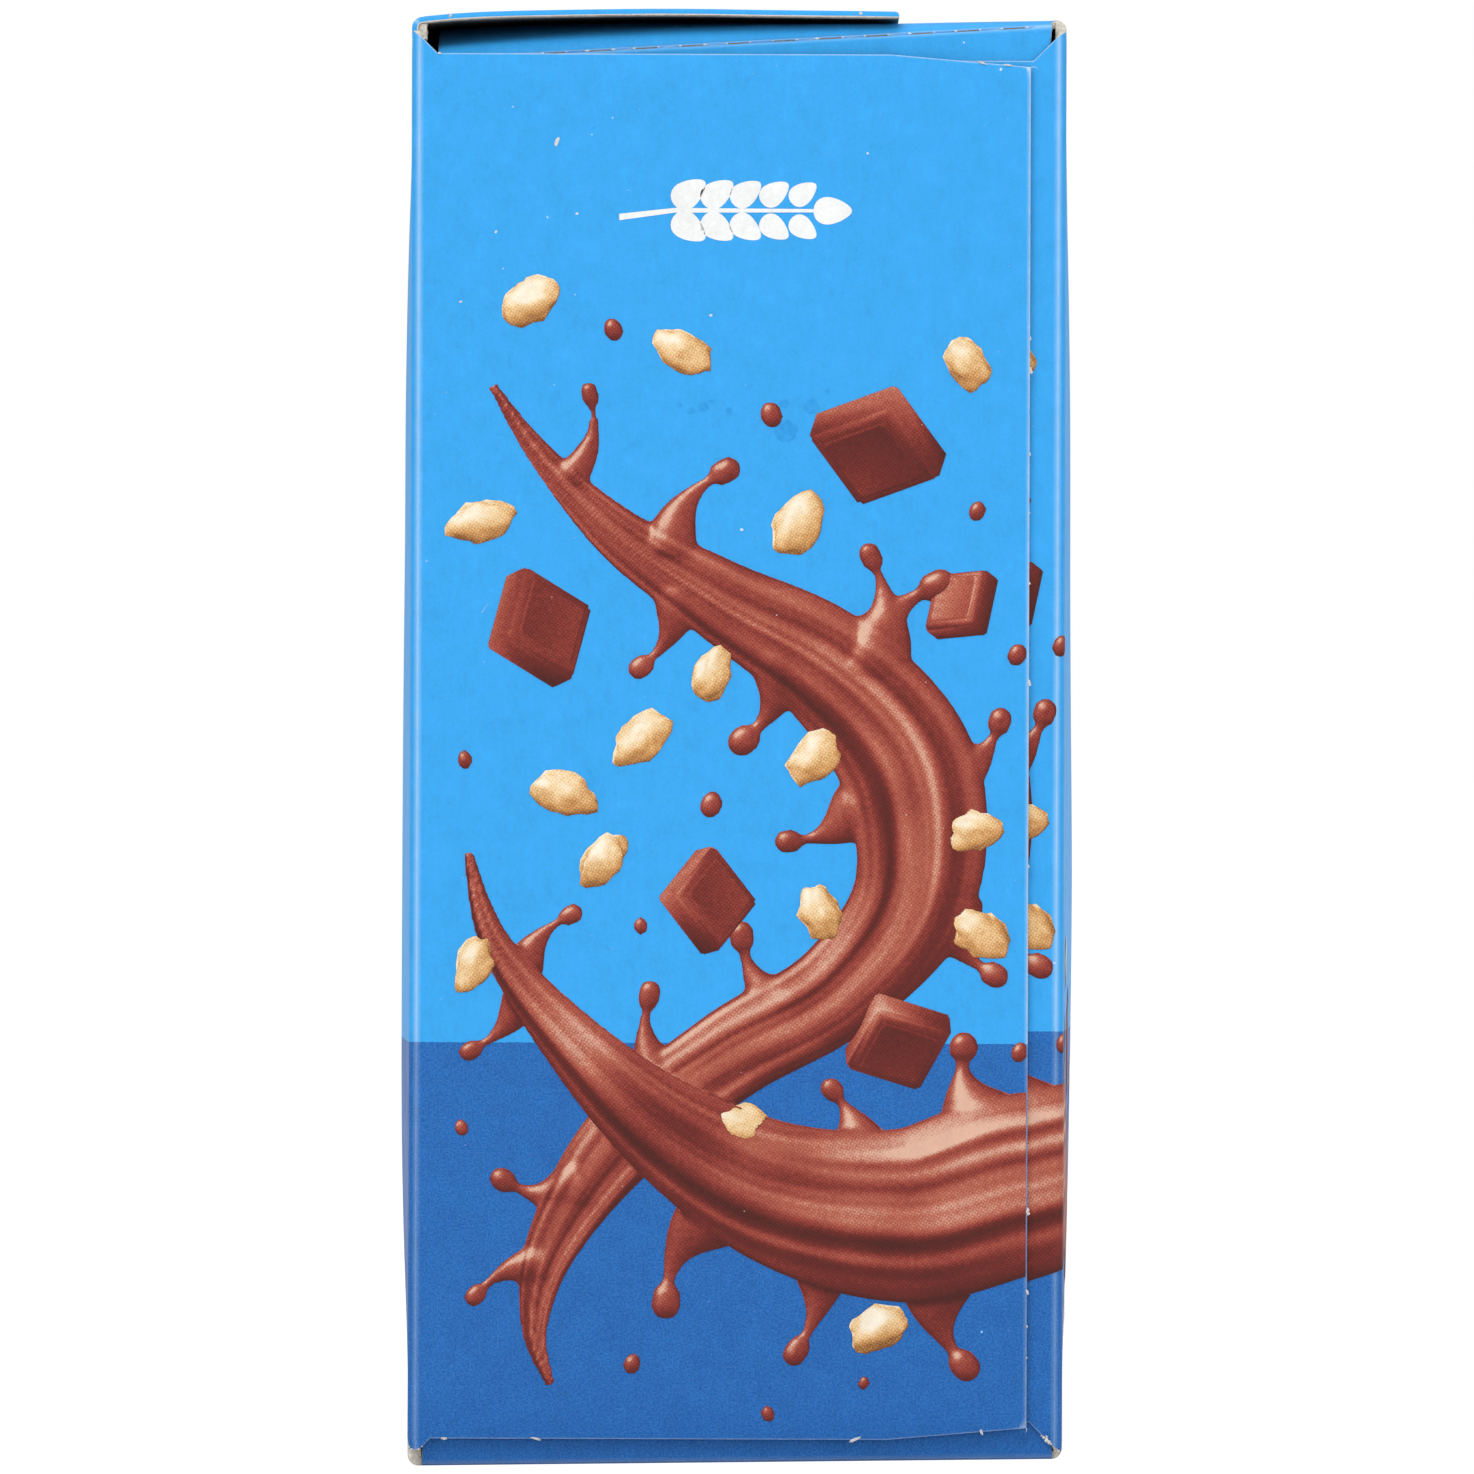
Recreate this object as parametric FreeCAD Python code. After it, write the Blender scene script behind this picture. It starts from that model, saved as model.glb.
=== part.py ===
import FreeCAD, Part

import math
import os

# A shut folding carton of cereal bars, in millimetres.
# One die-cut board is folded into a tube that lies along Y, and its two ends are closed
# by glued flaps. Every panel that is bounded by a crease is a sub-part of its own.
#   X  depth, from the panel that carries the outer flaps (-X) to the one opposite (+X)
#   Y  length of the bars; the end with the worn, lifted lid faces -Y
#   Z  height; the origin lies under the middle of the carton
# The carton is full and shut, so the tube is solid between its panels.

Vector = FreeCAD.Vector

# Overall sizes
PACK_LENGTH = 130.0        # Y, over the outer end flaps
PACK_DEPTH = 35.6          # X, over the long folds at either end
PACK_HEIGHT = 78.25        # Z, up to the inner top panel at its fold
PACK_SKEW = 1.06           # how far the top has leaned over towards +X
PANEL_BULGE = 0.98         # how far the full bars push the two large panels out
BULGE_FULLNESS = 4         # an even power: the larger, the flatter a bowed panel's middle
BULGE_SAG = 0.15           # share of the bulge that has settled from the upper half to the lower

# Board
BOARD = 0.40               # thickness
FOLD_RADIUS = 0.60         # outside of a long or end fold

# Outer lap, glued on the inner top panel and folded from the -X panel
LAP_REACH = 26.5           # from the outside of its fold to its free edge
LAP_CROWN = 0.33           # how far it arches up between fold and free edge
CROWN_LEFTWARD = 0.66      # under 1 sets the arch's top nearer to the fold than to the free edge
LAP_LEG = 0.54             # strip of the -X panel between an end notch and the lap's fold
LAP_EDGE_RADIUS = 0.22     # free edge, rounded by the cutting rule
LAP_CLEARANCE = 0.13       # glue line under the lap
LAP_SETBACK = 0.80         # from the outside of the end flaps to the cut end of the lap

# Inner top panel, pulled down at each end by its dust flap
CREASE_SINK = 1.64         # below the long fold, at its free edge
CREASE_RISE = 0.043        # slope of the sunk crease up towards +X
SINK_RUN = 12.0            # length over which the panel comes up to its full height there
HELD_SINK_RUN = 3.5        # the same beside the +X fold, which holds the panel up
FREE_GAP = 1.00            # open slot between its free edge and the -X panel
FREE_GAP_DEPTH = 4.0
FREE_GAP_RUN = 30.0
CORNER_SLIT = 0.15         # slit between a dust flap and the folded corner beside it
CORNER_SLIT_DEPTH = 3.0
CORNER_SLIT_HEIGHT = 1.0

# Outer end flap, hinged on the -X panel
OUTER_SHORT = 1.95         # from its free edge to the outside of the +X fold
OUTER_LOW = 1.52           # lower edge above the bottom of the carton
OUTER_DROP = 1.45          # upper edge below the inner top panel's fold
OUTER_TAPER = 7.6          # length of the slanted ends beside the free edge
OUTER_TAPER_DROP = 0.66
HINGE_NOTCH = 0.62         # from the fold's outside to the start of the notch cut
NOTCH_CLEARANCE = 0.05     # between the hinge's upper end and the leg of the lap

# Inner end flap, hinged on the +X panel
INNER_SHORT = 7.60         # from its free edge to the outside of the -X fold
INNER_LOW = 2.00
INNER_DROP = 2.25
INNER_CORNER = 2.2         # rounded free corners
INNER_NOTCH_RUN = 1.80     # how far the slanted notch cuts run in from the fold
INNER_EAR = 0.45           # how much further its notches reach at the fold itself

# Dust flaps, hinged on the top and bottom panels
DUST_LENGTH = 25.0
DUST_TAPER = 1.6           # how much each side narrows towards the free edge
DUST_CORNER = 3.0
TOP_DUST_LEFT = 1.30       # from the -X panel's outside
TOP_DUST_RIGHT = 0.75      # from the +X panel's outside
BOTTOM_DUST_LEFT = 0.75
BOTTOM_DUST_RIGHT = 0.50

# Tear-open perforation along the crease of the top dust flap
CUT_LENGTH = 1.20
CUT_PITCH = 2.50
CUT_WIDTH = 0.12
CUT_INSET = 1.45           # from the flap's +X side to the end of the first cut

# Values that follow
PANEL_SPAN = PACK_HEIGHT - 2 * FOLD_RADIUS
LEAN = math.atan(PACK_SKEW / PANEL_SPAN)
END = PACK_LENGTH / 2
FLAP_LAYERS = 3            # dust flap, inner flap, outer flap
BODY_END = END - FLAP_LAYERS * BOARD
LAP_END = END - LAP_SETBACK
INNER_RADIUS = FOLD_RADIUS - BOARD
LAP_TOP = PACK_HEIGHT + LAP_CLEARANCE + BOARD
LEDGE = LAP_TOP - FOLD_RADIUS - LAP_LEG
OUTER_REACH = PACK_DEPTH - OUTER_SHORT
OUTER_HIGH = PACK_HEIGHT - OUTER_DROP
INNER_REACH = PACK_DEPTH - INNER_SHORT
INNER_HIGH = PACK_HEIGHT - INNER_DROP
BOW_STEPS = 12             # stretches of a bowed panel each way
CROWN_STEPS = 8            # stretches of the arched top edge


def left(z):
    """Outside of the -X panel at an end fold, at height z; upright through the long folds."""
    share = min(max((z - FOLD_RADIUS) / PANEL_SPAN, 0.0), 1.0)
    return -PACK_DEPTH / 2 + PACK_SKEW * (share - 0.5)


def right(z):
    """Outside of the +X panel at an end fold, at height z."""
    return left(z) + PACK_DEPTH


def crown(x):
    """Height of the top of the tube at x, arched under the lap and level beyond it."""
    start = left(PACK_HEIGHT) + FOLD_RADIUS
    end = left(PACK_HEIGHT) + LAP_REACH - LAP_EDGE_RADIUS
    share = min(max((x - start) / (end - start), 0.0), 1.0)
    return PACK_HEIGHT + LAP_CROWN * math.sin(math.pi * share ** CROWN_LEFTWARD)


def segment(a, b):
    return Part.LineSegment(a, b).toShape()


def arc(a, middle, b):
    return Part.Arc(a, middle, b).toShape()


def spline(points):
    curve = Part.BSplineCurve()
    curve.interpolate(points)
    return curve.toShape()


def corner_arc(a, corner, b):
    """Quarter round from a to b, which lie at equal distances from their corner."""
    center = a + b - corner
    middle = center + (corner - center).normalize() * (a - center).Length
    return arc(a, middle, b)


def outline(points):
    """Closed wire of straight lines."""
    return Part.makePolygon(points + points[:1])


def crown_edge(y, raised, x_from, x_to):
    """Arched line over the tube, lifted by raised, between two places across it."""
    points = []
    for i in range(CROWN_STEPS + 1):
        x = x_from + (x_to - x_from) * i / CROWN_STEPS
        points.append(Vector(x, y, crown(x) + raised))
    return spline(points)


def tube_outline(y):
    """Closed outline of the full tube at an end, without the bow of its large panels."""

    def at(x, z):
        return Vector(x, y, z)

    top = PACK_HEIGHT
    low_left = left(0)
    low_right = right(0)
    top_right = right(top)
    wall = left(LEDGE) + BOARD + LAP_CLEARANCE
    shoulder = left(top) + FOLD_RADIUS
    lap_tip = left(top) + LAP_REACH
    fold = FOLD_RADIUS
    edges = [
        segment(at(low_left, fold), at(left(LEDGE), LEDGE)),
        segment(at(left(LEDGE), LEDGE), at(wall, LEDGE)),
        segment(at(wall, LEDGE), at(wall, top - INNER_RADIUS)),
        segment(at(wall, top - INNER_RADIUS), at(shoulder, top)),
        crown_edge(y, 0.0, shoulder, lap_tip),
        segment(at(lap_tip, top), at(top_right - fold, top)),
        corner_arc(at(top_right - fold, top), at(top_right, top), at(top_right, top - fold)),
        segment(at(top_right, top - fold), at(low_right, fold)),
        corner_arc(at(low_right, fold), at(low_right, 0), at(low_right - fold, 0)),
        segment(at(low_right - fold, 0), at(low_left + fold, 0)),
        corner_arc(at(low_left + fold, 0), at(low_left, 0), at(low_left, fold)),
    ]
    return Part.Wire(Part.__sortEdges__(edges))


def upright_bow(rise):
    """Share of the bulge at a height that runs from -1 at a panel's foot to 1 at its head."""
    return (1 - rise**BULGE_FULLNESS) * (1 - BULGE_SAG * rise)


def bowed_panel(side, low, high):
    """Face of a large panel between two folds, pushed out by the bars between them.

    low and high are the (x, z) places of its long edges, which stay straight.
    """
    rows = []
    for i in range(BOW_STEPS + 1):
        up = i / BOW_STEPS
        x = low[0] + (high[0] - low[0]) * up
        z = low[1] + (high[1] - low[1]) * up
        row = []
        for j in range(BOW_STEPS + 1):
            along = 2 * j / BOW_STEPS - 1
            bow = PANEL_BULGE * upright_bow(2 * up - 1) * (1 - along**2)
            row.append(Vector(x + side * bow, BODY_END * along, z))
        rows.append(row)
    surface = Part.BSplineSurface()
    surface.interpolate(rows)
    return surface.toShape()


def is_large_panel(face):
    """Whether a face of the straight tube is one of its two large side panels."""
    sideways = abs(face.normalAt(0, 0).x) > math.cos(math.pi / 8)
    return sideways and face.BoundBox.ZLength > PACK_HEIGHT / 2


def make_tube():
    """Straight tube whose two flat large panels are exchanged for bowed ones."""
    tube = Part.Face(tube_outline(-BODY_END)).extrude(Vector(0, 2 * BODY_END, 0))
    upper = PACK_HEIGHT - FOLD_RADIUS
    kept = [face for face in tube.Faces if not is_large_panel(face)]
    panels = [
        bowed_panel(-1, (left(FOLD_RADIUS), FOLD_RADIUS), (left(LEDGE), LEDGE)),
        bowed_panel(1, (right(FOLD_RADIUS), FOLD_RADIUS), (right(upper), upper)),
    ]
    shell = Part.makeShell(kept + panels)
    shell.sewShape()
    return Part.makeSolid(Part.makeShell(shell.Faces))


def make_body():
    """Full tube: large panels, bottom panel and inner top panel round the bars."""
    body = make_tube()
    for end in (-1, 1):
        body = body.cut(sunk_lid_cutter(end))
        body = body.cut(free_edge_slot(end))
        for slit in corner_slits(end):
            body = body.cut(slit)
    return body


def crease_height(x):
    """Height of the sunk crease at the end of the inner top panel."""
    free_edge = left(PACK_HEIGHT) + BOARD + FREE_GAP
    return PACK_HEIGHT - CREASE_SINK + CREASE_RISE * (x - free_edge)


def sunk_lid_cutter(end):
    """Wedge over the inner top panel, from its sunk crease up to its full height."""
    beyond = 2 * BOARD
    top = PACK_HEIGHT + LAP_CROWN + BOARD
    sections = []
    for x, run in (
        (left(PACK_HEIGHT) + BOARD, SINK_RUN),
        (right(PACK_HEIGHT) - FOLD_RADIUS, HELD_SINK_RUN),
    ):
        low = crease_height(x)
        corners = [
            Vector(x, end * (BODY_END + beyond), low),
            Vector(x, end * BODY_END, low),
            Vector(x, end * (BODY_END - run), top),
            Vector(x, end * (BODY_END + beyond), top),
        ]
        sections.append(outline(corners))
    return Part.makeLoft(sections, True, True)


def free_edge_slot(end):
    """Slot between the -X panel and the free edge of the inner top panel."""
    slot = Part.makeBox(FREE_GAP, FREE_GAP_RUN, FREE_GAP_DEPTH + LAP_CROWN)
    y_low = min(end * BODY_END, end * (BODY_END - FREE_GAP_RUN))
    slot.translate(Vector(left(PACK_HEIGHT) + BOARD, y_low, PACK_HEIGHT - FREE_GAP_DEPTH))
    return slot


def corner_slits(end):
    """Narrow slits where a dust flap's side leaves the folded corner beside it."""
    y_low = min(end * BODY_END, end * (BODY_END - CORNER_SLIT_DEPTH))
    slits = []
    for x, z in (
        (right(PACK_HEIGHT) - TOP_DUST_RIGHT, PACK_HEIGHT - FOLD_RADIUS - CORNER_SLIT_HEIGHT),
        (left(0) + BOTTOM_DUST_LEFT - CORNER_SLIT, FOLD_RADIUS),
    ):
        slit = Part.makeBox(CORNER_SLIT, CORNER_SLIT_DEPTH, CORNER_SLIT_HEIGHT)
        slit.translate(Vector(x, y_low, z))
        slits.append(slit)
    return slits


def make_lap():
    """Outer top lap: short leg on the -X panel, long fold, arched sheet, free edge."""
    x_out = left(PACK_HEIGHT)
    top = LAP_TOP
    fold_x = x_out + FOLD_RADIUS
    tip = x_out + LAP_REACH
    y = -LAP_END

    def at(x, z):
        return Vector(x, y, z)

    edges = [
        segment(at(x_out, LEDGE), at(x_out, top - FOLD_RADIUS)),
        corner_arc(at(x_out, top - FOLD_RADIUS), at(x_out, top), at(fold_x, top)),
        crown_edge(y, BOARD + LAP_CLEARANCE, fold_x, tip - LAP_EDGE_RADIUS),
        corner_arc(at(tip - LAP_EDGE_RADIUS, top), at(tip, top), at(tip, top - LAP_EDGE_RADIUS)),
        segment(at(tip, top - LAP_EDGE_RADIUS), at(tip, top - BOARD)),
        crown_edge(y, LAP_CLEARANCE, fold_x, tip - LAP_EDGE_RADIUS),
        segment(at(tip - LAP_EDGE_RADIUS, top - BOARD), at(tip, top - BOARD)),
        corner_arc(
            at(fold_x, top - BOARD),
            at(x_out + BOARD, top - BOARD),
            at(x_out + BOARD, top - BOARD - INNER_RADIUS),
        ),
        segment(at(x_out + BOARD, top - BOARD - INNER_RADIUS), at(x_out + BOARD, LEDGE)),
        segment(at(x_out + BOARD, LEDGE), at(x_out, LEDGE)),
    ]
    face = Part.Face(Part.Wire(Part.__sortEdges__(edges)))
    return face.extrude(Vector(0, 2 * LAP_END, 0))


def hinged_strip(y_out, high):
    """L-shaped strip of board: end flap, fold and short return along its panel.

    The hinge runs up Z at x = 0, the flap runs to +X and its outside lies at y_out.
    """
    y_arc = y_out + FOLD_RADIUS
    far = PACK_DEPTH

    def at(x, y):
        return Vector(x, y, 0)

    edges = [
        segment(at(0, -BODY_END), at(0, y_arc)),
        corner_arc(at(0, y_arc), at(0, y_out), at(FOLD_RADIUS, y_out)),
        segment(at(FOLD_RADIUS, y_out), at(far, y_out)),
        segment(at(far, y_out), at(far, y_out + BOARD)),
        segment(at(far, y_out + BOARD), at(FOLD_RADIUS, y_out + BOARD)),
        corner_arc(at(FOLD_RADIUS, y_out + BOARD), at(BOARD, y_out + BOARD), at(BOARD, y_arc)),
        segment(at(BOARD, y_arc), at(BOARD, -BODY_END)),
        segment(at(BOARD, -BODY_END), at(0, -BODY_END)),
    ]
    face = Part.Face(Part.Wire(Part.__sortEdges__(edges)))
    return face.extrude(Vector(0, 0, high))


def blank(points, thick_from, thick_to):
    """Flap outline in the XZ plane, thickened along Y."""
    wire = outline([Vector(x, thick_from, z) for x, z in points])
    return Part.Face(wire).extrude(Vector(0, thick_to - thick_from, 0))


def lean_with_panel(shape):
    """Tips a flap drawn upright over with the panel that it is hinged on."""
    shape.rotate(Vector(0, 0, FOLD_RADIUS), Vector(0, 1, 0), math.degrees(LEAN))
    return shape


def make_outer_flap():
    """Widest flap, outermost, with slanted ends beside its free edge."""
    y_out = -END
    notch_low = OUTER_LOW - HINGE_NOTCH
    notch_high = LEDGE - NOTCH_CLEARANCE
    notch_run = HINGE_NOTCH + (OUTER_LOW - notch_low)
    points = [
        (-BOARD, notch_low),
        (HINGE_NOTCH, notch_low),
        (notch_run, OUTER_LOW),
        (OUTER_REACH - OUTER_TAPER, OUTER_LOW),
        (OUTER_REACH, OUTER_LOW + OUTER_TAPER_DROP),
        (OUTER_REACH, OUTER_HIGH - OUTER_TAPER_DROP),
        (OUTER_REACH - OUTER_TAPER, OUTER_HIGH),
        (HINGE_NOTCH + (notch_high - OUTER_HIGH), OUTER_HIGH),
        (HINGE_NOTCH, notch_high),
        (-BOARD, notch_high),
    ]
    strip = hinged_strip(y_out, PACK_HEIGHT)
    flap = strip.common(blank(points, y_out - BOARD, -BODY_END + BOARD))
    flap = lean_with_panel(flap)
    flap.translate(Vector(left(0), 0, 0))
    return flap


def make_inner_flap():
    """Flap from the +X panel, glued behind the outer one, with notched hinge ends."""
    y_out = -END + BOARD
    notch_drop = INNER_NOTCH_RUN - HINGE_NOTCH
    points = [
        (-BOARD, INNER_LOW - notch_drop - INNER_EAR),
        (0, INNER_LOW - notch_drop - INNER_EAR),
        (HINGE_NOTCH, INNER_LOW - notch_drop),
        (INNER_NOTCH_RUN, INNER_LOW),
        (INNER_REACH - INNER_CORNER, INNER_LOW),
        (INNER_REACH, INNER_LOW + INNER_CORNER),
        (INNER_REACH, INNER_HIGH - INNER_CORNER),
        (INNER_REACH - INNER_CORNER, INNER_HIGH),
        (INNER_NOTCH_RUN, INNER_HIGH),
        (HINGE_NOTCH, INNER_HIGH + notch_drop),
        (0, INNER_HIGH + notch_drop + INNER_EAR),
        (-BOARD, INNER_HIGH + notch_drop + INNER_EAR),
    ]
    strip = hinged_strip(y_out, PACK_HEIGHT)
    flap = strip.common(blank(points, y_out - BOARD, -BODY_END + BOARD))
    flap = flap.mirror(Vector(0, 0, 0), Vector(1, 0, 0))
    flap = lean_with_panel(flap)
    flap.translate(Vector(right(0), 0, 0))
    return flap


def dust_flap(width):
    """Dust flap hanging down from its crease at z = 0, from x = 0 to its width."""
    y_out = -BODY_END - BOARD
    y_in = -BODY_END
    profile = [
        corner_arc(Vector(0, y_out, -BOARD), Vector(0, y_out, 0), Vector(0, y_in, 0)),
        segment(Vector(0, y_in, 0), Vector(0, y_in, -DUST_LENGTH)),
        segment(Vector(0, y_in, -DUST_LENGTH), Vector(0, y_out, -DUST_LENGTH)),
        segment(Vector(0, y_out, -DUST_LENGTH), Vector(0, y_out, -BOARD)),
    ]
    face = Part.Face(Part.Wire(Part.__sortEdges__(profile)))
    plate = face.extrude(Vector(width, 0, 0))
    points = [
        (0, BOARD),
        (width, BOARD),
        (width - DUST_TAPER, DUST_CORNER - DUST_LENGTH),
        (width - DUST_TAPER - DUST_CORNER, -DUST_LENGTH),
        (DUST_TAPER + DUST_CORNER, -DUST_LENGTH),
        (DUST_TAPER, DUST_CORNER - DUST_LENGTH),
    ]
    return plate.common(blank(points, y_out - BOARD, y_in + BOARD))


def perforation(width):
    """Row of short cuts through the fold of a dust flap, square to its rounding."""
    cuts = []
    place = width - CUT_INSET - CUT_LENGTH
    while place > CUT_INSET:
        cut = Part.makeBox(CUT_LENGTH, 4 * BOARD, CUT_WIDTH, Vector(place, -2 * BOARD, -CUT_WIDTH / 2))
        cut.rotate(Vector(0, 0, 0), Vector(1, 0, 0), -45)
        cut.translate(Vector(0, -BODY_END - BOARD / 2, -BOARD / 2))
        cuts.append(cut)
        place -= CUT_PITCH
    return Part.makeCompound(cuts)


def make_top_dust_flap():
    """Dust flap of the lid, torn open along its perforated crease."""
    x_left = left(PACK_HEIGHT) + TOP_DUST_LEFT
    x_right = right(PACK_HEIGHT) - TOP_DUST_RIGHT
    width = x_right - x_left
    flap = dust_flap(width).cut(perforation(width))
    flap.rotate(Vector(0, 0, 0), Vector(0, 1, 0), -math.degrees(math.atan(CREASE_RISE)))
    flap.translate(Vector(x_left, 0, crease_height(x_left)))
    return flap


def make_bottom_dust_flap():
    """Dust flap of the bottom panel, standing up behind the inner flap."""
    x_left = left(0) + BOTTOM_DUST_LEFT
    width = right(0) - BOTTOM_DUST_RIGHT - x_left
    flap = dust_flap(width).mirror(Vector(0, 0, 0), Vector(0, 0, 1))
    flap.translate(Vector(x_left, 0, 0))
    return flap


def main():
    os.makedirs("parts", exist_ok=True)
    pieces = {"carton_body": make_body(), "top_outer_lap": make_lap()}
    flaps = {
        "outer_end_flap": make_outer_flap(),
        "inner_end_flap": make_inner_flap(),
        "top_dust_flap": make_top_dust_flap(),
        "bottom_dust_flap": make_bottom_dust_flap(),
    }
    for name, flap in flaps.items():
        pieces["near_" + name] = flap
        pieces["far_" + name] = flap.mirror(Vector(0, 0, 0), Vector(0, 1, 0))
    for name, piece in pieces.items():
        piece.Solids[0].exportStep("parts/" + name + ".step")


main()
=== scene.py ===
import math
import random

import bmesh
import bpy
from mathutils import Matrix, Vector, kdtree, noise


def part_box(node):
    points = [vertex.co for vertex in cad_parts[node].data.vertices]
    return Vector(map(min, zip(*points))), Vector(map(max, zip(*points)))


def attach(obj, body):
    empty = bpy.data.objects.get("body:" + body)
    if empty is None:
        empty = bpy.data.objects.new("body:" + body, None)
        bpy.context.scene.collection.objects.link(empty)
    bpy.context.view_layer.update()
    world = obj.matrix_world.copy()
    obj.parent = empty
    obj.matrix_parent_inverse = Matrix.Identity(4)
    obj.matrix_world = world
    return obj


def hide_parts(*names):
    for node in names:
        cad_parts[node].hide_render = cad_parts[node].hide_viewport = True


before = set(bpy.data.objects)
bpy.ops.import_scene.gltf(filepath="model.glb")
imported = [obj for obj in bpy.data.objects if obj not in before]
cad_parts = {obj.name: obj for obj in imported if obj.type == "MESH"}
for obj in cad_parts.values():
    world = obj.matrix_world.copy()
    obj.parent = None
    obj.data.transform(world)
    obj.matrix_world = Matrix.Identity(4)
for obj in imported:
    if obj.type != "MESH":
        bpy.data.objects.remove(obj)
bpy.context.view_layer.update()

bl_info = {
    "name": "Cereal Bar Carton",
    "version": (1, 0, 0),
    "blender": (4, 5, 0),
    "location": "3D View > Sidebar > Carton",
    "description": "Builds the printed board, closure, wear and stage of a shut carton of cereal bars",
    "category": "Add Mesh",
}

# Lengths are in millimetres, and become metres where a mesh is made.
MM = 0.001


def low(node):
    """Lowest corner of a CAD node in millimetres."""
    return Vector(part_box(node)[0]) / MM


def high(node):
    """Highest corner of a CAD node in millimetres."""
    return Vector(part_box(node)[1]) / MM


# Places that come from the frame
BOARD = high("near_top_dust_flap").y - low("near_top_dust_flap").y
LEFT_LOW = low("near_outer_end_flap").x
LEFT_HIGH = low("top_outer_lap").x
DEPTH = -(LEFT_LOW + LEFT_HIGH)
SKEW = LEFT_HIGH - LEFT_LOW
END = high("far_outer_end_flap").y
BODY_END = high("carton_body").y
LAP_END = high("top_outer_lap").y
LEDGE = low("top_outer_lap").z
LAP_TIP = high("top_outer_lap").x

# Sizes of the board's folds, shared with the construction
FOLD = 0.60                # outside radius of a long or end fold
LAP_CROWN = 0.33           # how far the lap arches up
TOP = high("carton_body").z - LAP_CROWN
LAP_LIFT = 0.13            # glue line under the lap
CROWN_LEFTWARD = 0.66      # below 1 the lap's crown lies nearer its fold than its free edge
PANEL_BULGE = 0.98         # how far a large panel bows out at mid length
BULGE_FULLNESS = 4         # how flat the bow is between its folds
BULGE_SAG = 0.15           # how much fuller it is below than above
CREASE_SINK = 1.64         # lid's crease below the long fold, at its free edge
CREASE_RISE = 0.043        # slope of the crease, up towards +X
SINK_RUN = 12.0            # length over which the lid rises from its crease, at its free edge
HELD_SINK_RUN = 3.5        # and beside the +X fold
LID_EDGE_RAMP = 0.3        # width over which it starts to sink beside the +X fold
LID_CURVE = 1.6            # how soon the lid has risen: 1 is an even slope
LID_ROLL = 0.35            # reach of the crease's own rounding
ROLL_SHARE = 0.27          # share of the rise that is in this rounding, at the free edge
HELD_ROLL_SHARE = 1.00     # and beside the +X fold
FREE_GAP = 1.00            # between the lid's free edge and the -X panel
HINGE_NOTCH = 0.62         # straight part of a hinge notch
OUTER_LOW = 1.52           # the outer flap's edges, the taper beside its free edge, and its notches
OUTER_HIGH = TOP - 1.45
OUTER_TAPER = 7.6
OUTER_TAPER_DROP = 0.66
OUTER_NOTCH_LOW = OUTER_LOW - HINGE_NOTCH
OUTER_NOTCH_HIGH = LEDGE - 0.05
OUTER_EAR = 0.44           # how much further its upper notch reaches at the fold itself
OUTER_REACH = DEPTH - 1.95
INNER_LOW = 2.00           # the same for the inner flap: its notches slant, and both have an ear
INNER_HIGH = TOP - 2.25
INNER_NOTCH_RUN = 1.80
INNER_EAR = 0.45
INNER_CORNER = 2.2
INNER_REACH = DEPTH - 7.60
DUST_LENGTH = 25.0
DUST_TAPER = 1.6           # how much each side comes in towards its free edge
DUST_CORNER = 3.0
CUT_INSET = 1.45           # from a dust flap's side to its nearest tear-open cut
CUT_DEPTH = 0.3
CUT_FLOOR = 0.81           # share of a cut's half width in which its floor is bare
CORE_INSET = 0.25          # the near-black core, painted shade, behind the board, and behind the closure
CORE_DEPTH = 2.6

# Finish of the cut edges
EDGE_ROUND = 0.12          # the cutting rule presses a cut edge down
FREE_EDGE_SHARE = 0.36     # the outer flap's free edge is rubbed as if it lay this much nearer,
FREE_EDGE_STRIP = 0.3      # in a strip of this width
LAP_EDGE_ROUND = 0.22      # the same for the lap, and how thin its edge is crushed from the back
LAP_CRUSH = 0.07
NO_CUT_NEAR = 50.0         # distance to a cut edge where a sheet has none
PAST_BAND = 20.0           # height above the dark band's top where a piece is light all over
PAPER_STEP = 1.6           # spacing of a sheet's grid away from its edges

# Print
REPEAT = 2.45              # the figure's second print lies this much further round the carton
PRINT_START = 0.9          # the figure begins this far from the -X hinge
PRINT_MARGIN = 0.07        # bare strip beside the outer flap's free edge
PRINT_UNDER = 0.5          # the second print begins this far behind it
PRINT_PAST = 60.0          # how far the second print may run on round the side panel

PRINTED, RAW, BACK, DARK = range(4)
ENDS = (("near_", -1), ("far_", 1))


def smooth(x):
    """0 below 0, 1 above 1, and an eased rise between them."""
    x = min(max(x, 0.0), 1.0)
    return x * x * (3.0 - 2.0 * x)


def blend(a, b, share):
    return a + (b - a) * share


def size(name):
    """One of the carton's sizes that a user can change, in millimetres."""
    return getattr(bpy.context.scene.carton_sizes, name) / MM


def left(z):
    """Outside of the -X panel at an end, at height z."""
    return LEFT_LOW + SKEW * min(max((z - FOLD) / (TOP - 2 * FOLD), 0.0), 1.0)


def right(z):
    return left(z) + DEPTH


LEAN = math.atan(SKEW / (TOP - 2 * FOLD))
LAP_START = LEFT_HIGH + FOLD


def crown(x):
    """Height of the tube's top at x, arched under the lap."""
    share = min(max((x - LAP_START) / (LAP_TIP - LAP_EDGE_ROUND - LAP_START), 0.0), 1.0)
    return TOP + LAP_CROWN * math.sin(math.pi * share**CROWN_LEFTWARD)


def crease_height(x):
    """Height of the lid's sunk crease."""
    return TOP - CREASE_SINK + CREASE_RISE * (x - LEFT_HIGH - BOARD - FREE_GAP)


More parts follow.
